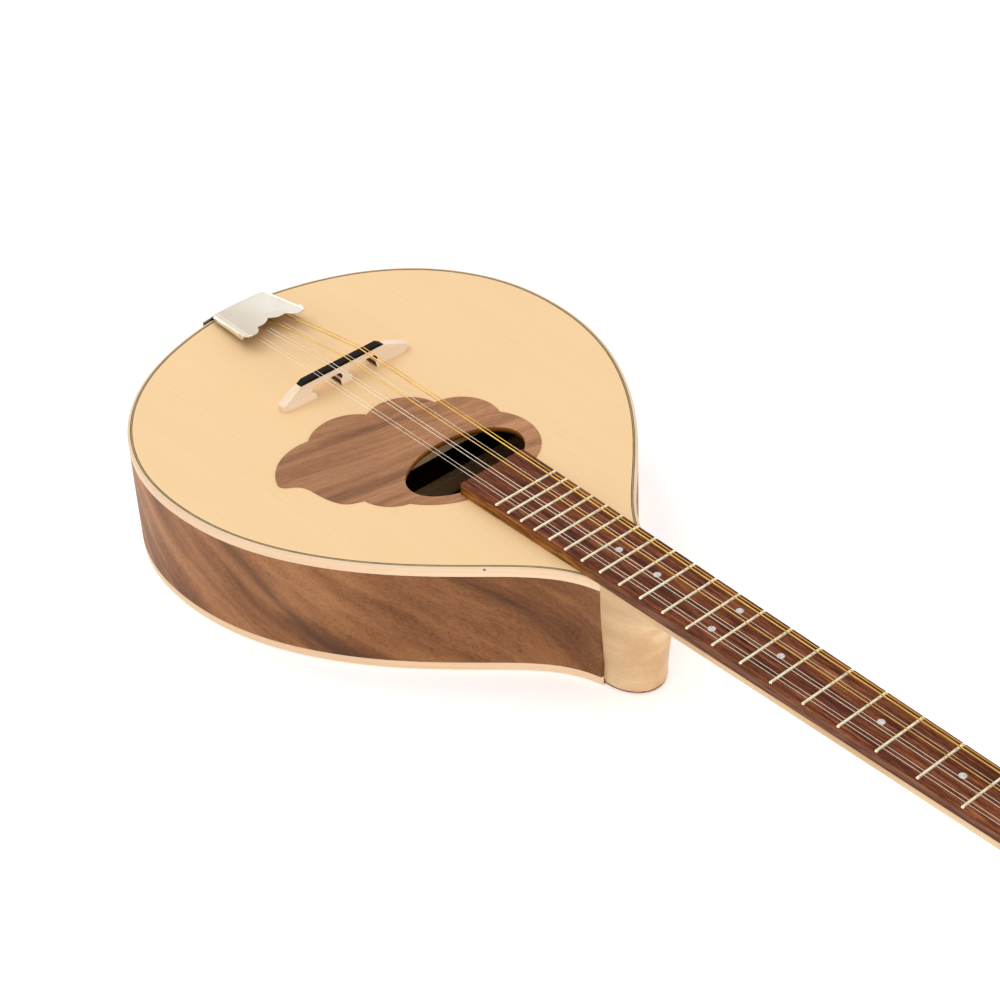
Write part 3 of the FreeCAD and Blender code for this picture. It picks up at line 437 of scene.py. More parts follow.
def purfling_lines():
    """Dark, pale and dark strips, told apart by the second coordinate of the grain map."""
    look = Look("purfling_lines", Specular_IOR_Level=0.3)
    place = look.coordinates(uv=True)
    inset = look.part(place, "Y")
    rise, fall = look.step(inset, 0.44 * MM, 0.50 * MM), look.step(inset, 1.06 * MM, 1.0 * MM)
    grain = look.noise(place, (120, 1800, 1))
    dark = look.ramp(grain, stops((0.3, 62, 54, 34), (0.7, 98, 86, 58)))
    pale = look.ramp(grain, stops((0.3, 150, 132, 92), (0.7, 190, 168, 124)))
    colour = look.mix(look.maths("MULTIPLY", rise, fall), dark, pale)
    return look.finish(colour, look.varied(0.42, grain, 0.1), grain, 0.01 * MM)


WIRE = dict(smudge=0.05, scratch=(60, 3000, 3000))
# The nickel's flat tops carry a painted, darker reflection towards the treble side.
nickel = metal(
    "nickel", (243, 235, 222), (236, 226, 211), smudge=0.05, depth=0.001 * MM, extra=painted_dim_reflection)
# A darker copy of the nickel: painted shade for the tailpiece base's wings.
nickel_painted_shade = metal("nickel_painted_shade", (146, 134, 118), (130, 118, 102), roughness=0.3, smudge=0.06)
tuner_nickel = metal("tuner_nickel", (220, 217, 210), (188, 184, 176))
fret_metal = metal("fret_metal", (255, 246, 216), (240, 228, 190), roughness=0.34)
rod_steel = metal("rod_steel", (150, 150, 150), (116, 114, 112), roughness=0.42)
plain_wire = metal("plain_wire", (228, 217, 196), (212, 201, 180), roughness=0.4, **WIRE)
bronze_wire = metal("bronze_wire", (228, 186, 96), (206, 160, 72), roughness=0.42, **WIRE)
bone = polished(
    "bone", stops((0.3, 232, 220, 194), (0.7, 246, 238, 220)), (30, 260, 260), roughness=0.32)
pearl = polished(
    "pearl", stops((0.28, 176, 178, 176), (0.5, 206, 206, 200), (0.74, 232, 228, 218)),
    (420, 420, 420), roughness=0.22, Coat_Weight=0.4)
button_pearl = polished(
    "button_pearl", stops((0.28, 206, 196, 174), (0.5, 230, 222, 204), (0.74, 246, 240, 226)),
    (130, 130, 130), roughness=0.24, Coat_Weight=0.4)
purfling = purfling_lines()


# ---- mesh helpers
SAME_PLACE = 0.0005 * MM


def smoothed(mesh, sharp):
    mesh.polygons.foreach_set("use_smooth", [True] * len(mesh.polygons))
    mesh.set_sharp_from_angle(angle=radians(sharp))
    return mesh


def mesh_from(name, points, faces, grain=None, sharp=35.0):
    """A smooth-shaded mesh whose faces look outwards.

    grain holds each point's place on its grain map; without it, points in one place become one.
    """
    mesh = bpy.data.meshes.new(name)
    mesh.from_pydata([tuple(point) for point in points], [], faces)
    work = bmesh.new()
    work.from_mesh(mesh)
    if grain is None:
        bmesh.ops.remove_doubles(work, verts=work.verts, dist=SAME_PLACE)
    bmesh.ops.recalc_face_normals(work, faces=work.faces)
    work.to_mesh(mesh)
    work.free()
    if grain is not None:
        layer = mesh.uv_layers.new(name="grain")
        corners = np.zeros(len(mesh.loops), np.int32)
        mesh.loops.foreach_get("vertex_index", corners)
        layer.data.foreach_set("uv", np.asarray(grain, float)[corners].ravel())
    return smoothed(mesh, sharp)


def skin(rows, ring=True, caps=True):
    """Points and faces of a surface laid over rows of equally many points."""
    rows = np.asarray(rows, float)
    count, across = rows.shape[:2]
    faces = []
    for here in range(0, (count - 1) * across, across):
        for j in range(across if ring else across - 1):
            k = (j + 1) % across
            faces.append((here + j, here + k, here + across + k, here + across + j))
    if caps:
        faces.append(tuple(reversed(range(across))))
        faces.append(tuple(range((count - 1) * across, count * across)))
    return rows.reshape(-1, 3), faces


def joined(parts):
    """Several (points, faces) pairs as one."""
    points, faces = [], []
    for more_points, more_faces in parts:
        start = len(points)
        points.extend(tuple(point) for point in more_points)
        faces.extend(tuple(start + corner for corner in face) for face in more_faces)
    return np.array(points), faces


def in_scene(name, data):
    made = bpy.data.objects.new(name, data)
    scene.collection.objects.link(made)
    return made


def place_piece(name, mesh, material, node):
    """Puts a mesh in the scene in place of a CAD node, riding on its body."""
    made = in_scene(name, mesh)
    mesh.materials.append(material)
    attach(made, body_of(cad[node])[0])
    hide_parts(node)
    return made


def add_piece(name, surface, material, slot, node, grain=None, sharp=35.0):
    """Makes a mesh of (points, faces) and places it."""
    return place_piece(name, mesh_from(name, *surface, grain, sharp), material, node)


def arc(first, last, count):
    """Cosines and sines of evenly spaced angles."""
    return [(cos(a), sin(a)) for a in np.linspace(first, last, count)]


def circle(count):
    return arc(0, 2 * pi, count + 1)[:-1]


def finish_node(node, material):
    """A CAD node that keeps its own shape gets its material."""
    materials = cad[node].data.materials
    materials.clear()
    materials.append(material)


def solids_of(mesh):
    """The closed solids of a CAD mesh as (points, faces); each ends where its skin closes."""
    places, solids, faces, unmatched = {}, [], [], set()
    numbers = [places.setdefault(tuple(vertex.co), len(places)) for vertex in mesh.vertices]
    points = list(places)
    for polygon in mesh.polygons:
        corners = list(dict.fromkeys(numbers[vertex] for vertex in polygon.vertices))
        if len(corners) < 3:
            continue
        faces.append(corners)
        for edge in zip(corners, corners[1:] + corners[:1]):
            if edge[::-1] in unmatched:
                unmatched.remove(edge[::-1])
            else:
                unmatched.add(edge)
        if not unmatched:
            corners = dict.fromkeys(corner for face in faces for corner in face)
            used = {corner: place for place, corner in enumerate(corners)}
            solids.append(([points[corner] for corner in used],
                           [[used[corner] for corner in face] for face in faces]))
            faces = []
    return solids


def softened(node, material, width, suffix="soft", leave_out=None, segments=2):
    """A CAD node's own shape with its hard edges rounded to a width in millimetres."""
    work = bmesh.new()
    for points, faces in solids_of(cad[node].data):
        if leave_out is None or not leave_out(points):
            corners = [work.verts.new(point) for point in points]
            for face in faces:
                work.faces.new([corners[corner] for corner in face])
    bmesh.ops.dissolve_degenerate(work, dist=SAME_PLACE, edges=work.edges)
    bmesh.ops.dissolve_limit(work, angle_limit=radians(0.8), verts=work.verts,
                             edges=work.edges)
    if width:
        hard = [edge for edge in work.edges
                if edge.is_manifold and edge.calc_face_angle() > radians(28)]
        bmesh.ops.bevel(work, geom=hard, offset=width * MM, segments=segments, profile=0.5,
                        affect="EDGES", clamp_overlap=True)
        bmesh.ops.dissolve_degenerate(work, dist=SAME_PLACE, edges=work.edges)
    name = node + "_" + suffix
    mesh = bpy.data.meshes.new(name)
    work.to_mesh(mesh)
    work.free()
    made = place_piece(name, smoothed(mesh, 40), material, node)
    made.modifiers.new("even_shading", "WEIGHTED_NORMAL").keep_sharp = True
    return made


def tube(points, radii, up, sides=8):
    """Rings round a path; up is a direction that the path never runs along."""
    points = np.asarray(points, float)
    along = np.gradient(points, axis=0)
    along /= np.linalg.norm(along, axis=1)[:, None]
    side = np.cross(along, np.asarray(up, float))
    side /= np.linalg.norm(side, axis=1)[:, None]
    lift = np.cross(side, along)
    radii = np.broadcast_to(radii, len(points))[:, None, None]
    turn = np.array(circle(sides))
    ring = side[:, None] * turn[:, :1] + lift[:, None] * turn[:, 1:]
    return skin(points[:, None] + ring * radii)


# ---- the rim and what follows it
def rim_points():
    """The back plate's outline, from the joint's treble corner round the tail to the bass one."""
    vertices = [vertex.co for vertex in cad["back_plate"].data.vertices]
    lowest = min(point.z for point in vertices)
    corners = {(round(point.x, 6), round(point.y, 6)) for point in vertices
               if point.z < lowest + 0.01 * MM}
    middle = 60 * MM
    order = sorted(corners, key=lambda spot: -atan2(spot[1], spot[0] - middle) % (2 * pi))
    kept = [order[0]]
    for point in order[1:]:
        if dist(point, kept[-1]) > 0.3 * MM:
            kept.append(point)
    return np.array(kept)


class Rim:
    """The body's outline as a smooth curve; places along it are metres from its treble end."""

    def __init__(self):
        self.points = rim_points()
        steps = np.linalg.norm(np.diff(self.points, axis=0), axis=1)
        self.places = np.concatenate([[0], np.cumsum(steps)])
        self.length = self.places[-1]
        slopes = np.diff(self.points, axis=0) / steps[:, None]
        weights = steps[1:, None] / (steps[1:] + steps[:-1])[:, None]
        inner = slopes[:-1] * weights + slopes[1:] * (1 - weights)
        self.slopes = np.concatenate([slopes[:1], inner, slopes[-1:]])

    def at(self, places):
        """Positions and outward directions at places along the rim."""
        places = np.clip(np.asarray(places, float), 0, self.length)
        index = np.searchsorted(self.places, places, side="right") - 1
        index = np.clip(index, 0, len(self.places) - 2)
        step = self.places[index + 1] - self.places[index]
        t = ((places - self.places[index]) / step)[:, None]
        step = step[:, None]
        first, last = self.points[index], self.points[index + 1]
        leave, arrive = self.slopes[index] * step, self.slopes[index + 1] * step
        spot = ((2 * t**3 - 3 * t**2 + 1) * first + (t**3 - 2 * t**2 + t) * leave
                + (3 * t**2 - 2 * t**3) * last + (t**3 - t**2) * arrive)
        slope = ((6 * t**2 - 6 * t) * (first - last) + (3 * t**2 - 4 * t + 1) * leave
                 + (3 * t**2 - 2 * t) * arrive)
        slope /= np.linalg.norm(slope, axis=1)[:, None]
        return spot, np.stack([-slope[:, 1], slope[:, 0]], axis=1)

    def strip(self, places, profiles):
        """Rows of points: each profile is a list of (inset from the outside, height)."""
        spot, outward = self.at(places)
        profiles = np.asarray(profiles, float)
        if profiles.ndim == 2:
            profiles = np.broadcast_to(profiles, (len(spot),) + profiles.shape)
        flat = spot[:, None] + outward[:, None] * (BINDING - profiles[:, :, :1])
        rows = np.concatenate([flat, profiles[:, :, 1:]], axis=2)
        rows[:, :, 0] = np.minimum(rows[:, :, 0], JOINT_X)
        return rows


rim = Rim()
STATIONS = np.linspace(0, rim.length, 421)
TAIL_STATION = 210


def ring_piece(name, places, profile, material, slot, node, across=None):
    """A strip with one profile; its grain map holds the place on the rim, and across or height."""
    across = across or [height for _inset, height in profile]
    grain = np.stack([np.repeat(places, len(profile)), np.tile(across, len(places))], axis=1)
    add_piece(name, skin(rim.strip(places, profile)), material, slot, node, grain)


def make_bindings():
    """Strips let into the body's edges, each with a rounded outer corner and a fine seam."""
    seam = 0.15 * MM
    for node, inner, outer, up, radius in (("top_binding", TOP_BINDING_LOW, TOP, 1, 0.8 * MM),
                                           ("back_binding", BACK_BINDING_HIGH, 0, -1, 1.0 * MM)):
        profile = [(BINDING, inner), (seam, inner), (0, inner + up * seam)]
        profile += [(radius * (1 - c), outer - up * radius * (1 - s)) for c, s in arc(0, pi / 2, 6)]
        profile.append((BINDING, outer))
        ring_piece(node + "_strip", STATIONS, profile, binding_maple, "binding", node)


def make_purfling():
    """Three thin strips beside the binding, a hair proud of the top."""
    outer, inner = BINDING, BINDING + PURFLING
    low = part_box("top_purfling")[0].z
    profile = [(inset, TOP + 0.004 * MM) for inset in np.linspace(outer, inner, 7)]
    profile = [(outer, low)] + profile + [(inner, low)]
    ring_piece("purfling_strips", STATIONS, profile, purfling, "purfling", "top_purfling",
               [inset - outer for inset, _height in profile])


def make_sides():
    """Two bent ribs with their edges stepped to take the bindings."""
    low, high = BACK_BINDING_HIGH, TOP_BINDING_LOW
    profile = [(0, low), (0, (low + high) / 2), (0, high), (BINDING, high), (BINDING, TOP_UNDER),
               (SIDE, TOP_UNDER), (SIDE, BACK), (BINDING, BACK), (BINDING, low)]
    for node, places in (("side_treble", STATIONS[:TAIL_STATION + 1]),
                         ("side_bass", STATIONS[TAIL_STATION:])):
        ring_piece(node + "_rib", places, profile, side_walnut, "walnut", node)


def kerfed_lining(node, level, direction):
    """Glue strips sawn almost through every few millimetres so that they bend round the body."""
    low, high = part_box(node)
    block_x, tail_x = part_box("neck_block")[0].x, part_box("tail_block")[1].x
    tail_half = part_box("tail_block")[1].y
    deep, thin, kerf = SIDE + 5 * MM, SIDE + 1.4 * MM, 0.5 * MM
    foot = level + direction * (high.z - low.z)
    slope = level + direction * (high.z - low.z) * 0.55
    fine = np.linspace(0, rim.length, 4000)
    spot, outward = rim.at(fine)
    inner = spot + outward * (BINDING - deep)
    outer = spot + outward * (BINDING - SIDE)
    parts = []
    for side in (-1, 1):
        free = (np.maximum(inner[:, 0], outer[:, 0]) < block_x) & (spot[:, 1] * side > 0)
        free &= (np.abs(inner[:, 1]) > tail_half) | (inner[:, 0] > tail_x)
        start, end = fine[free][0], fine[free][-1]
        sawn = [(start, deep)]
        for cut in np.arange(start + 4 * MM, end - 4 * MM, 7 * MM):
            sawn += [(cut - kerf, deep), (cut - kerf, thin), (cut + kerf, thin), (cut + kerf, deep)]
        sawn.append((end, deep))
        profiles = [[(SIDE, level), (inset, level), (inset, slope), (thin, foot), (SIDE, foot)]
                    for _place, inset in sawn]
        parts.append(skin(rim.strip([place for place, _inset in sawn], profiles)))
    add_piece(node + "_kerfed", joined(parts), inner_spruce, "inner_spruce", node, sharp=25)


# ---- fingerboard fittings
def along_board(x, first, last):
    """A measure of the fingerboard at x, from its values at the sound hole and at the nut."""
    return first + (last - first) * (x - BOARD_LOW.x) / (SCALE - BOARD_LOW.x)


def board_half(x):
    return along_board(x, BOARD_HIGH.y, NUT_HIGH.y)


def board_top(x):
    return along_board(x, BOARD_HIGH.z, TOP + 5.4 * MM)


def make_frets():
    """Crowned wires with rounded ends, each pressed into its slot."""
    tang, end_round = 0.3 * MM, 1.1 * MM
    parts, crown = [], arc(0, pi, 11)
    for number in range(1, 24):
        x = SCALE * 2 ** (-number / 12)
        half, base = board_half(x) - 0.7 * MM, board_top(x)
        rows = []
        for share in np.linspace(-1, 1, 41):
            y = half * sin(share * pi / 2)
            from_end = min(1.0, (half - abs(y)) / end_round)
            swell = max(0.04, sqrt(1 - (1 - from_end) ** 2))
            width, height = 1.0 * MM * (0.35 + 0.65 * swell), 0.9 * MM * swell
            rows.append([(x + width * c, y, base + height * s) for c, s in crown]
                        + [(x - tang, y, base - tang), (x + tang, y, base - tang)])
        parts.append(skin(rows))
    add_piece("fret_wires", joined(parts), fret_metal, "fret_nickel", "frets")


def make_dots():
    """Pearl discs, each ground level with the board and very slightly domed."""
    half, pair = 2.25 * MM, 10.8 * MM
    dome = ((1.0, -0.5), (1.0, 0.02), (0.96, 0.06), (0.8, 0.09), (0.5, 0.11), (0.1, 0.12))
    parts = []
    for number, y in [(fret, 0.0) for fret in (3, 5, 7, 10, 15, 17)] + [(12, -pair), (12, pair)]:
        x = SCALE * (2 ** (-number / 12) + 2 ** (-(number - 1) / 12)) / 2
        rows = []
        for radius, rise in dome:
            spots = [(x + half * radius * c, y + half * radius * s) for c, s in circle(40)]
            rows.append([(a, b, board_top(a) + rise * MM) for a, b in spots])
        parts.append(skin(rows))
    add_piece("pearl_dots", joined(parts), pearl, "pearl", "position_dots")


# ---- neck, heel and headstock
HEEL_LEVELS = [1.5, 16.0, 30.0, 43.0, 53.0, 60.0, 66.0]
HEEL_HALF = [18.9, 19.7, 20.6, 21.4, 21.8, 21.9, 21.9]
HEEL_NOSE = [282.4, 283.6, 285.2, 287.8, 292.0, 300.0, 320.0]
HEEL_LOW = 1.5 * MM
HEEL_ENDS = 322 * MM
HEEL_POWER = 2.1
SHAFT_POWER = 2.15
SHAFT_DEEP = 13.6 * MM
HEAD_THICK = 14.5 * MM
HEAD_LONG = 132.1
AROUND = 49


def eased(value, low, high):
    share = min(1.0, max(0.0, (value - low) / (high - low)))
    return share * share * (3 - 2 * share)


def shaft_reach(angle, half, deep, power):
    """Distance from the middle of a flat-topped section to its outline at an angle below level."""
    wide, tall = abs(cos(angle)) / half, sin(angle) / deep
    return (wide ** power + tall ** power) ** (-1 / power)


def heel_reach(x, angle):
    """The same for the heel at one place along the neck."""
    reach = np.linspace(0, 1, 600)[1:] * (TOP + 20 * MM)
    level = TOP - reach * sin(angle)
    half = np.interp(level / MM, HEEL_LEVELS, HEEL_HALF) * MM
    nose = np.interp(level / MM, HEEL_LEVELS, HEEL_NOSE) * MM
    share = np.clip((x - JOINT_X) / (nose - JOINT_X), 0, 1)
    width = half * (1 - share ** HEEL_POWER) ** (1 / HEEL_POWER)
    inside = (np.abs(reach * cos(angle)) < width) & (x < nose)
    return float(reach[inside].max()) if inside.any() else 0.0


def both(first, second, blend):
    """The larger of two distances, with the crease between them filled."""
    if blend <= 0:
        return max(first, second)
    overlap = max(0.0, 1 - abs(first - second) / blend)
    return max(first, second) + overlap * overlap * blend / 4


def read_off(table, place):
    """The value at a place, from a dictionary of values by place."""
    places = sorted(table)
    return float(np.interp(place, places, [table[known] for known in places]))


def head_half_width(u):
    """Half width of the headstock, read from its veneer."""
    posts = [post_of(index)[1:] for index in range(8)]
    edge = {}
    for vertex in cad["headstock_veneer"].data.vertices:
        a, b, w = head_place(vertex.co)
        on_edge = min(dist((a, b), post) for post in posts) > 4.7 * MM
        if on_edge and b > 10 * MM and abs(w) < 0.1 * MM and a < HEAD_LONG * MM:
            edge[round(a, 5)] = b
    return read_off(edge, u)


def stations(*runs):
    """Places along the neck from runs of (start, end, step) in millimetres."""
    return np.concatenate([np.arange(*run) for run in runs]) * MM


def neck_rows():
    """Sections of the heel and shaft: round the underside, then back across the flat top."""
    angles = np.linspace(0, pi, AROUND)
    rows = []
    for x in stations((258, 276, 3.0), (276, 282, 1.0), (282, 284, 0.16), (284, 290, 0.4),
                      (290, 300, 0.75), (300, 340, 2.0), (340, 631, 10.0)):
        share = (x - JOINT_X) / (HEAD_X - JOINT_X)
        half = board_half(x) - 1.0 * MM * (1 - share)
        deep = (15.5 - 2.0 * share) * MM
        row = []
        for angle in angles:
            shaft = shaft_reach(angle, half, deep, SHAFT_POWER)
            heel = heel_reach(x, angle) if x < HEEL_ENDS else 0.0
            reach = both(shaft, heel, 6 * MM * sin(angle) ** 2)
            row.append((x, reach * cos(angle), TOP - reach * sin(angle)))
        row += [(x, row[0][1] * cos(angle), TOP) for angle in angles[-2:0:-1]]
        rows.append(row)
    return rows


def head_rows():
    """From the slim shaft through the swelling behind the nut to the flat, tilted headstock."""
    angles = np.linspace(0, pi, AROUND)
    rows = []
    for u in stations((-17, 0, 2.0), (0, 36, 1.5), (36, HEAD_LONG, 4.0)):
        tilt = eased(u, -16 * MM, 18 * MM)
        down = (Vector((0, 0, -1)) * (1 - tilt) - HEAD_UP * tilt).normalized()
        if u <= 0:
            middle = Vector((HEAD_X + u, 0, TOP))
            half = board_half(min(SCALE, HEAD_X + u))
            half += (head_half_width(0.0) - half) * eased(u, -8 * MM, 0)
        else:
            middle = head_point(u, 0, 0)
            half = head_half_width(u)
        swell = 1.4 * MM * eased(u, -16 * MM, 0) * (1 - eased(u, 4 * MM, 24 * MM))
        deep = SHAFT_DEEP + (HEAD_THICK - SHAFT_DEEP) * eased(u, -10 * MM, 20 * MM) + swell
        square = eased(u, -6 * MM, 26 * MM)
        crown = 5 * MM * eased(u, 90 * MM, 132 * MM)
        under, flat = [], []
        for angle in angles:
            angle = angle + 0.16 * sin(4 * angle) * square
            reach = shaft_reach(angle, half, deep, SHAFT_POWER + 22 * square)
            across = reach * cos(angle)
            ahead = HEAD_ALONG * crown * (1 - (across / half) ** 2)
            flat.append(middle + ahead + Vector((0, across, 0)))
            under.append(flat[-1] + down * (reach * sin(angle)))
        rows.append(under + flat[-2:0:-1])
    return rows


def cut_level(mesh, height):
    """Takes away what lies below a height and closes the cut."""
    work = bmesh.new()
    work.from_mesh(mesh)
    bmesh.ops.remove_doubles(work, verts=work.verts, dist=0.02 * MM)
    cut = bmesh.ops.bisect_plane(work, geom=work.verts[:] + work.edges[:] + work.faces[:],
                                 plane_co=(0, 0, height), plane_no=(0, 0, 1), clear_inner=True)
    edges = [part for part in cut["geom_cut"] if isinstance(part, bmesh.types.BMEdge)]
    bmesh.ops.contextual_create(work, geom=edges)
    work.to_mesh(mesh)
    work.free()


def make_neck():
    """Heel, shaft and headstock as one skin, closed at both ends and cut level under the heel."""
    rows = neck_rows() + head_rows()
    points, faces = skin(rows, caps=False)
    around = len(rows[0])
    faces.append(tuple(reversed(range(around))))
    start = len(points) - around
    for step in range(AROUND - 1):
        corners = (step, step + 1, -(step + 1) % around, -step % around)
        faces.append(tuple(dict.fromkeys(start + corner for corner in corners)))
    mesh = mesh_from("neck_carved", points, faces)
    cut_level(mesh, HEEL_LOW)
    place_piece("neck_carved", smoothed(mesh, 38), maple, "neck")


# ---- saddle and tailpiece cover
def make_saddle():
    """The saddle strip with both ends cut back at a slant."""
    slanted, cut_back = 3 * MM, 2.4 * MM
    mesh = cad["saddle"].data.copy()
    for vertex in mesh.vertices:
        share = (vertex.co.z - SADDLE_LOW.z) / (SADDLE_HIGH.z - SADDLE_LOW.z)
        if abs(vertex.co.y) > SADDLE_HIGH.y - slanted:
            vertex.co.y -= copysign(cut_back * share, vertex.co.y)
    mesh.materials.clear()
    place_piece("saddle_slanted", mesh, ebony, "saddle")


COVER_CORNER = Vector((-105.6, 0, 83.3)) * MM
COVER_SLOPE = radians(5)
COVER_HALF = (21.0 * MM, 24.6 * MM)
COVER_THICK, COVER_DROP, COVER_BEAD = 0.8 * MM, 5.0 * MM, 0.95 * MM


def cover_profile(ahead, half):
    """One cross section of the cover, as (share of the half width, height) from end to end."""
    flange = COVER_DROP * (1 - eased(ahead, 0.86, 1.0) * 0.9)
    flare = 0.5 * MM / half
    foot, bead = 0.9 * MM, COVER_BEAD / half
    rows = [(1 - flare * (2 * part - 1) ** 2, -foot - (flange - foot) * part)
            for part in (1, 0.8, 0.6, 0.4, 0.2)]
    rows += [(1 - flare - bead * (1 - c), (0.75 * s - 0.75) * MM) for c, s in arc(0.15, pi, 9)]
    inner = 1 - flare - 2.2 * bead
    rows += [(inner, -0.12 * MM)] + [(t, 0.0) for t in np.linspace(inner - 0.2 * bead, 0, 24)]
    return [(-t, z) for t, z in rows] + rows[-2::-1]


def make_cover():
    """A pressed sheet, crowned a little, beaded and turned down each side, its front in lobes."""
    along = Vector((cos(COVER_SLOPE), 0, sin(COVER_SLOPE)))
    up = Vector((-sin(COVER_SLOPE), 0, cos(COVER_SLOPE)))
    front = {}
    for vertex in cad["tailpiece_cover"].data.vertices:
        apart = vertex.co - COVER_CORNER
        if apart.dot(along) > 31 * MM and abs(apart.dot(up) - COVER_THICK) < 0.05 * MM:
            front[round(apart.y, 6)] = apart.dot(along)
    rows = []
    # The back edge turns down a little, in two rows behind the sheet's own.
    dips = [(0.0, 1.2 * MM), (0.0, 0.6 * MM)]
    for ahead, dip in dips + [(share, 0.0) for share in np.linspace(0, 1, 45)]:
        half = COVER_HALF[0] + (COVER_HALF[1] - COVER_HALF[0]) * ahead
        row = []
        for t, z in cover_profile(ahead, half):
            x = ahead * read_off(front, t * half)
            level = COVER_THICK + z - 0.35 * MM * t * t - dip
            row.append(COVER_CORNER + along * x + Vector((0, t * half, 0)) + up * level)
        rows.append(row)
    made = add_piece("tailpiece_cover_pressed", skin(rows, ring=False, caps=False), nickel,
                     "tail_nickel", "tailpiece_cover", sharp=50)
    sheet = made.modifiers.new("sheet", "SOLIDIFY")
    sheet.thickness, sheet.offset = COVER_THICK * 0.9, -1.0


# ---- strings
STRINGS = (
    # node, diameter in millimetres, side of its course, wound
    ("course_1", 0.30, -1, False), ("course_1", 0.30, 1, False),
    ("course_2", 0.40, -1, False), ("course_2", 0.40, 1, False),
    ("course_3_wound", 0.66, -1, True), ("course_3_plain", 0.32, 1, False),
    ("course_4", 0.96, -1, True), ("course_4", 0.56, 1, True),
)
COURSE_Y = {"hook": 4.65, "saddle": 6.12, "nut": 4.29}
PAIR_HALF = {"hook": 1.5, "saddle": 1.35, "nut": 1.2}
HOOK_X = -87.0 * MM
HOOK_RADIUS = 1.1 * MM
LOOP_WIRE = 0.2 * MM
TWIST_WIRE = 0.16 * MM
WIND_HEIGHT = 6.5 * MM
POST_RADIUS = 3.0 * MM


def string_y(index, place):
    """A string's distance from the middle line at its hook, the saddle or the nut."""
    course = COURSE_Y[place] * (2 * (index // 2) - 3)
    return (course + PAIR_HALF[place] * STRINGS[index][2]) * MM


def post_of(index):
    """Number of the post that winds a string, and its place on the headstock."""
    number = index + 1 if index < 4 else 12 - index
    u, v, _w = head_place(joints["post_turn_%d" % number]["pos_m"])
    return number, u, v


def wind(index, radius):
    """The string's turns on its post, from where it arrives to its end through the hole."""
    _number, u, v = post_of(index)
    inner = -copysign(1, v)
    rise = 2.2 * MM - radius
    turns = 0.25 + max(1, int(rise / radius) - 1) / 2
    angles = np.linspace(0, turns * 2 * pi, int(turns * 40))
    hub = POST_RADIUS + radius
    path = []
    for angle in angles:
        around = inner * (pi / 2 - angle)
        height = WIND_HEIGHT + radius + rise * angle / angles[-1]
        path.append((hub * cos(around), hub * sin(around), height))
    side = copysign(1, path[-1][0])
    for reach in np.linspace(hub - 0.6 * MM, -hub - 1.6 * MM, 12):
        path.append((side * reach, 0.0, path[-1][2]))
    return [head_point(u + a, v + b, w) for a, b, w in path]


def spaced(points, step):
    """The straight runs between points, divided into steps, with each bend slightly rounded."""
    path = []
    for start, end in zip(points, points[1:]):
        run = end - start
        count = max(2, int(run.length / step))
        path.extend(start + run * (i / count) for i in range(count))
    return path + [points[-1]]


def wrap(start, end, radius, wire, turns):
    """A thin wire twisted round the string between two points."""
    steps = turns * 12
    axis = (end - start).normalized()
    side = axis.cross(Vector((0, 0, 1))).normalized()
    lift = side.cross(axis)
    path = []
    for step in range(steps + 1):
        angle = step * pi / 6
        around = side * cos(angle) + lift * sin(angle)
        path.append(start.lerp(end, step / steps) + around * (radius + wire * 0.8))
    return path


def hook_loop(hook, wire):
    """The closed loop that drops over the tailpiece's hook."""
    centre = Vector((HOOK_X, hook.y, hook.z))
    return [centre + Vector((c, s, 0)) * (HOOK_RADIUS + wire) for c, s in arc(0, 2 * pi, 33)]


def make_strings():
    """Each course keeps its own piece, and every post carries its string's turns."""
    courses = {}
    for index, (node, diameter, _side, wound) in enumerate(STRINGS):
        radius = diameter / 2 * MM
        look = (bronze_wire, "wound_string") if wound else (plain_wire, "plain_string")
        on_bone = radius - 0.15 * MM
        hook = Vector((HOOK_X + HOOK_RADIUS + radius, string_y(index, "hook"), TOP + 5.1 * MM))
        saddle = Vector((-1.5 * MM, string_y(index, "saddle"), SADDLE_HIGH.z + on_bone))
        nut = Vector((SCALE + 0.8 * MM, string_y(index, "nut"), NUT_HIGH.z + on_bone))
        number, u, v = post_of(index)
        goal = head_point(u, v - copysign(POST_RADIUS + radius, v), WIND_HEIGHT + radius)
        path = spaced([hook, saddle, nut, goal], 0.2 * MM if wound else 6 * MM)
        ribs = np.full(len(path), radius)
        if wound:
            ribs[::2] *= 0.94
        twist_end = hook + (saddle - hook).normalized() * 9 * MM
        twist = wrap(hook, twist_end, radius, TWIST_WIRE, 13)
        loop_wire = min(radius, LOOP_WIRE)
        parts = [tube(path, ribs, (0, 0, 1)), tube(twist, TWIST_WIRE, (0.02, 0.01, 1), sides=6),
                 tube(hook_loop(hook, loop_wire), loop_wire, (0, 0, 1))]
        courses.setdefault(node, (look, []))[1].extend(parts)
        turns = tube(wind(index, radius), radius, HEAD_UP, sides=10)
        add_piece("string_turns_%d" % number, turns, *look, "tuner_post_%d" % number)
    for node, (look, parts) in courses.items():
        add_piece(node + "_strings", joined(parts), *look, node)


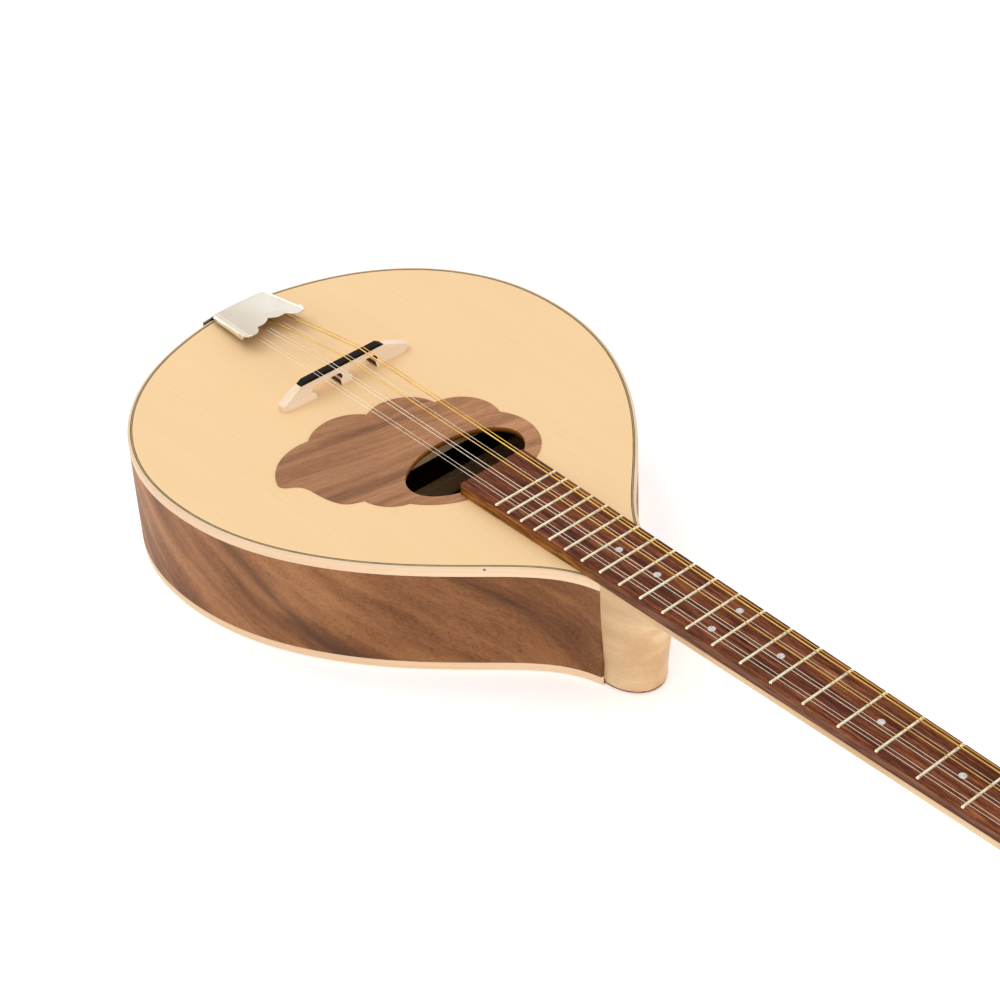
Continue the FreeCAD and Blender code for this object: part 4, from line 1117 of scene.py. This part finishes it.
# ---- tuning machines
def make_button(number):
    """An oval pearl knob on a metal ferrule."""
    name = "tuner_button_%d" % number
    low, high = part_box(name)
    side = copysign(1, low.y + high.y)
    u, _v, w = head_place(joints["key_turn_%d" % number]["pos_m"])
    tip, root = (high.y, low.y) if side > 0 else (low.y, high.y)
    middle, reach = (tip + root) / 2, (tip - root) / 2
    wide, flat = 8.0 * MM, 4.2 * MM
    rows = []
    for share in np.linspace(0.015, 1, 26):
        y = middle - reach * cos(pi * share)
        swell = max(0.02, sin(pi * share) ** 0.82)
        if share < 0.2:
            swell = max(swell, 0.42)
        across, up = wide * swell, flat * min(1.0, swell * 1.12)
        rows.append([head_point(u + across * copysign(abs(c) ** 0.85, c), y,
                                w + up * copysign(abs(s) ** 0.85, s)) for c, s in circle(40)])
    add_piece(name + "_knob", skin(rows), button_pearl, "button", name)
    rows = []
    for along, radius in ((0.0, 1.9), (0.0, 2.7), (0.5, 3.1), (1.3, 3.1), (1.6, 2.6)):
        y = root - side * (0.9 - along) * MM
        radius *= MM
        rows.append([head_point(u + c * radius, y, w + s * radius) for c, s in circle(32)])
    add_piece(name + "_ferrule", skin(rows), tuner_nickel, "tuner_nickel", name)


def make_post(number):
    """The post with its gear and screw; its string's turns are a piece of their own."""
    def is_coil(points):
        heights = [head_place(point)[2] - WIND_HEIGHT for point in points]
        return min(heights) > -0.1 * MM and max(heights) < 4 * MM

    softened("tuner_post_%d" % number, tuner_nickel, 0.12, "turned",
             leave_out=is_coil)


# ---- everything on the frame
make_bindings()
make_purfling()
make_sides()
kerfed_lining("top_lining", TOP_UNDER, -1)
kerfed_lining("back_lining", BACK, 1)
make_frets()
make_strings()
for tuner in range(1, 9):
    make_post(tuner)
    make_button(tuner)
    softened("tuner_worm_%d" % tuner, tuner_nickel, 0, "cut")

finish_node("soundboard", spruce)
finish_node("back_plate", back_walnut)
for part, width in (("neck_block", 0.8), ("tail_block", 0.8), ("top_braces", 1.2),
                    ("back_braces", 1.2)):
    softened(part, inner_spruce, width)
softened("pickguard", guard_veneer, 0.12)
make_neck()
softened("heel_cap", dark_cap, 0.3)
finish_node("truss_rod", rod_steel)
softened("headstock_veneer", head_veneer, 0.3)
softened("fingerboard", rosewood, 0.15)
make_dots()
finish_node("nut", bone)
softened("bridge", bridge_maple, 0.5, segments=3)
make_saddle()
# The base's plating is darkened to paint the shade on its wings.
softened("tailpiece_base", nickel_painted_shade, 0.2)
softened("tailpiece_screws", nickel, 0.1)
make_cover()
for part, width in (("plate_bass", 0.25), ("plate_treble", 0.25), ("bushings", 0.25),
                    ("screws", 0.1)):
    softened("tuner_" + part, tuner_nickel, width)


# ---- floor, light and camera
def make_floor():
    """A plain pale floor just under the back."""
    half, level = 40, -0.6 * MM
    corners = [(x * half, y * half, level) for x, y in ((-1, -1), (1, -1), (1, 1), (-1, 1))]
    floor = in_scene("floor", mesh_from("floor", corners, [(0, 1, 2, 3)]))
    look = Look("floor_white", Roughness=0.9, Specular_IOR_Level=0.0,
                Emission_Color=(1, 1, 1, 1), Emission_Strength=0.35)
    patches = look.noise(look.coordinates(), (4, 4, 4))
    pale = stops((0.0, 247, 247, 247), (1.0, 252, 252, 252))
    floor.data.materials.append(look.finish(look.ramp(patches, pale)))


def area_light(name, place, target, width, height, power):
    light = bpy.data.lights.new(name, "AREA")
    light.shape, light.size, light.size_y, light.energy = "RECTANGLE", width, height, power
    made = in_scene(name, light)
    made.location = place
    made.rotation_mode = "QUATERNION"
    made.rotation_quaternion = (Vector(target) - Vector(place)).to_track_quat("-Z", "Y")


def make_light():
    """A sky dimmer towards the horizon, a key light behind the tail and a low fill in front."""
    world = bpy.data.worlds.new("studio")
    world.use_nodes = True
    sky = Tree(world.node_tree)
    facing = sky.node("VectorMath", {"operation": "DOT_PRODUCT"})
    sky.feed(facing.inputs[0], sky.node("TexCoord").outputs["Generated"])
    sky.feed(facing.inputs[1], (-0.55, 0.1, 1.0))
    level = sky.step(facing.outputs["Value"], -0.15, 0.85)
    background = sky.tree.nodes["Background"].inputs
    sky.feed(background["Strength"], sky.varied(0.35, level, 0.65))
    background["Color"].default_value = (1.0, 1.0, 1.0, 1.0)
    scene.world = world
    area_light("key", (-1.2, -0.2, 1.6), (0.05, 0, 0.05), 1.2, 1.0, 7.0)
    area_light("fill", (1.7, -0.35, 0.35), (0, 0, 0.09), 0.8, 0.3, 7.5)
    scene.view_settings.view_transform = "Standard"


def make_camera():
    """The photograph's view, with its slight roll."""
    looks_at, place = Vector((0.16216, -0.01153, 0.0765)), Vector((1.0691, -0.7678, 0.9908))
    roll = radians(-2.796)
    lens = bpy.data.cameras.new("camera")
    lens.lens, lens.sensor_width = 92.15, 36.0
    lens.clip_start, lens.clip_end = 0.05, 50.0
    camera = in_scene("camera", lens)
    forward = (looks_at - place).normalized()
    level = forward.cross(Vector((0, 0, 1))).normalized()
    right = level * cos(roll) + level.cross(forward) * sin(roll)
    turn = Matrix((right, right.cross(forward), -forward)).transposed()
    camera.matrix_world = Matrix.Translation(place) @ turn.to_4x4()
    scene.camera = camera


make_floor()
make_light()
make_camera()
bpy.context.view_layer.update()
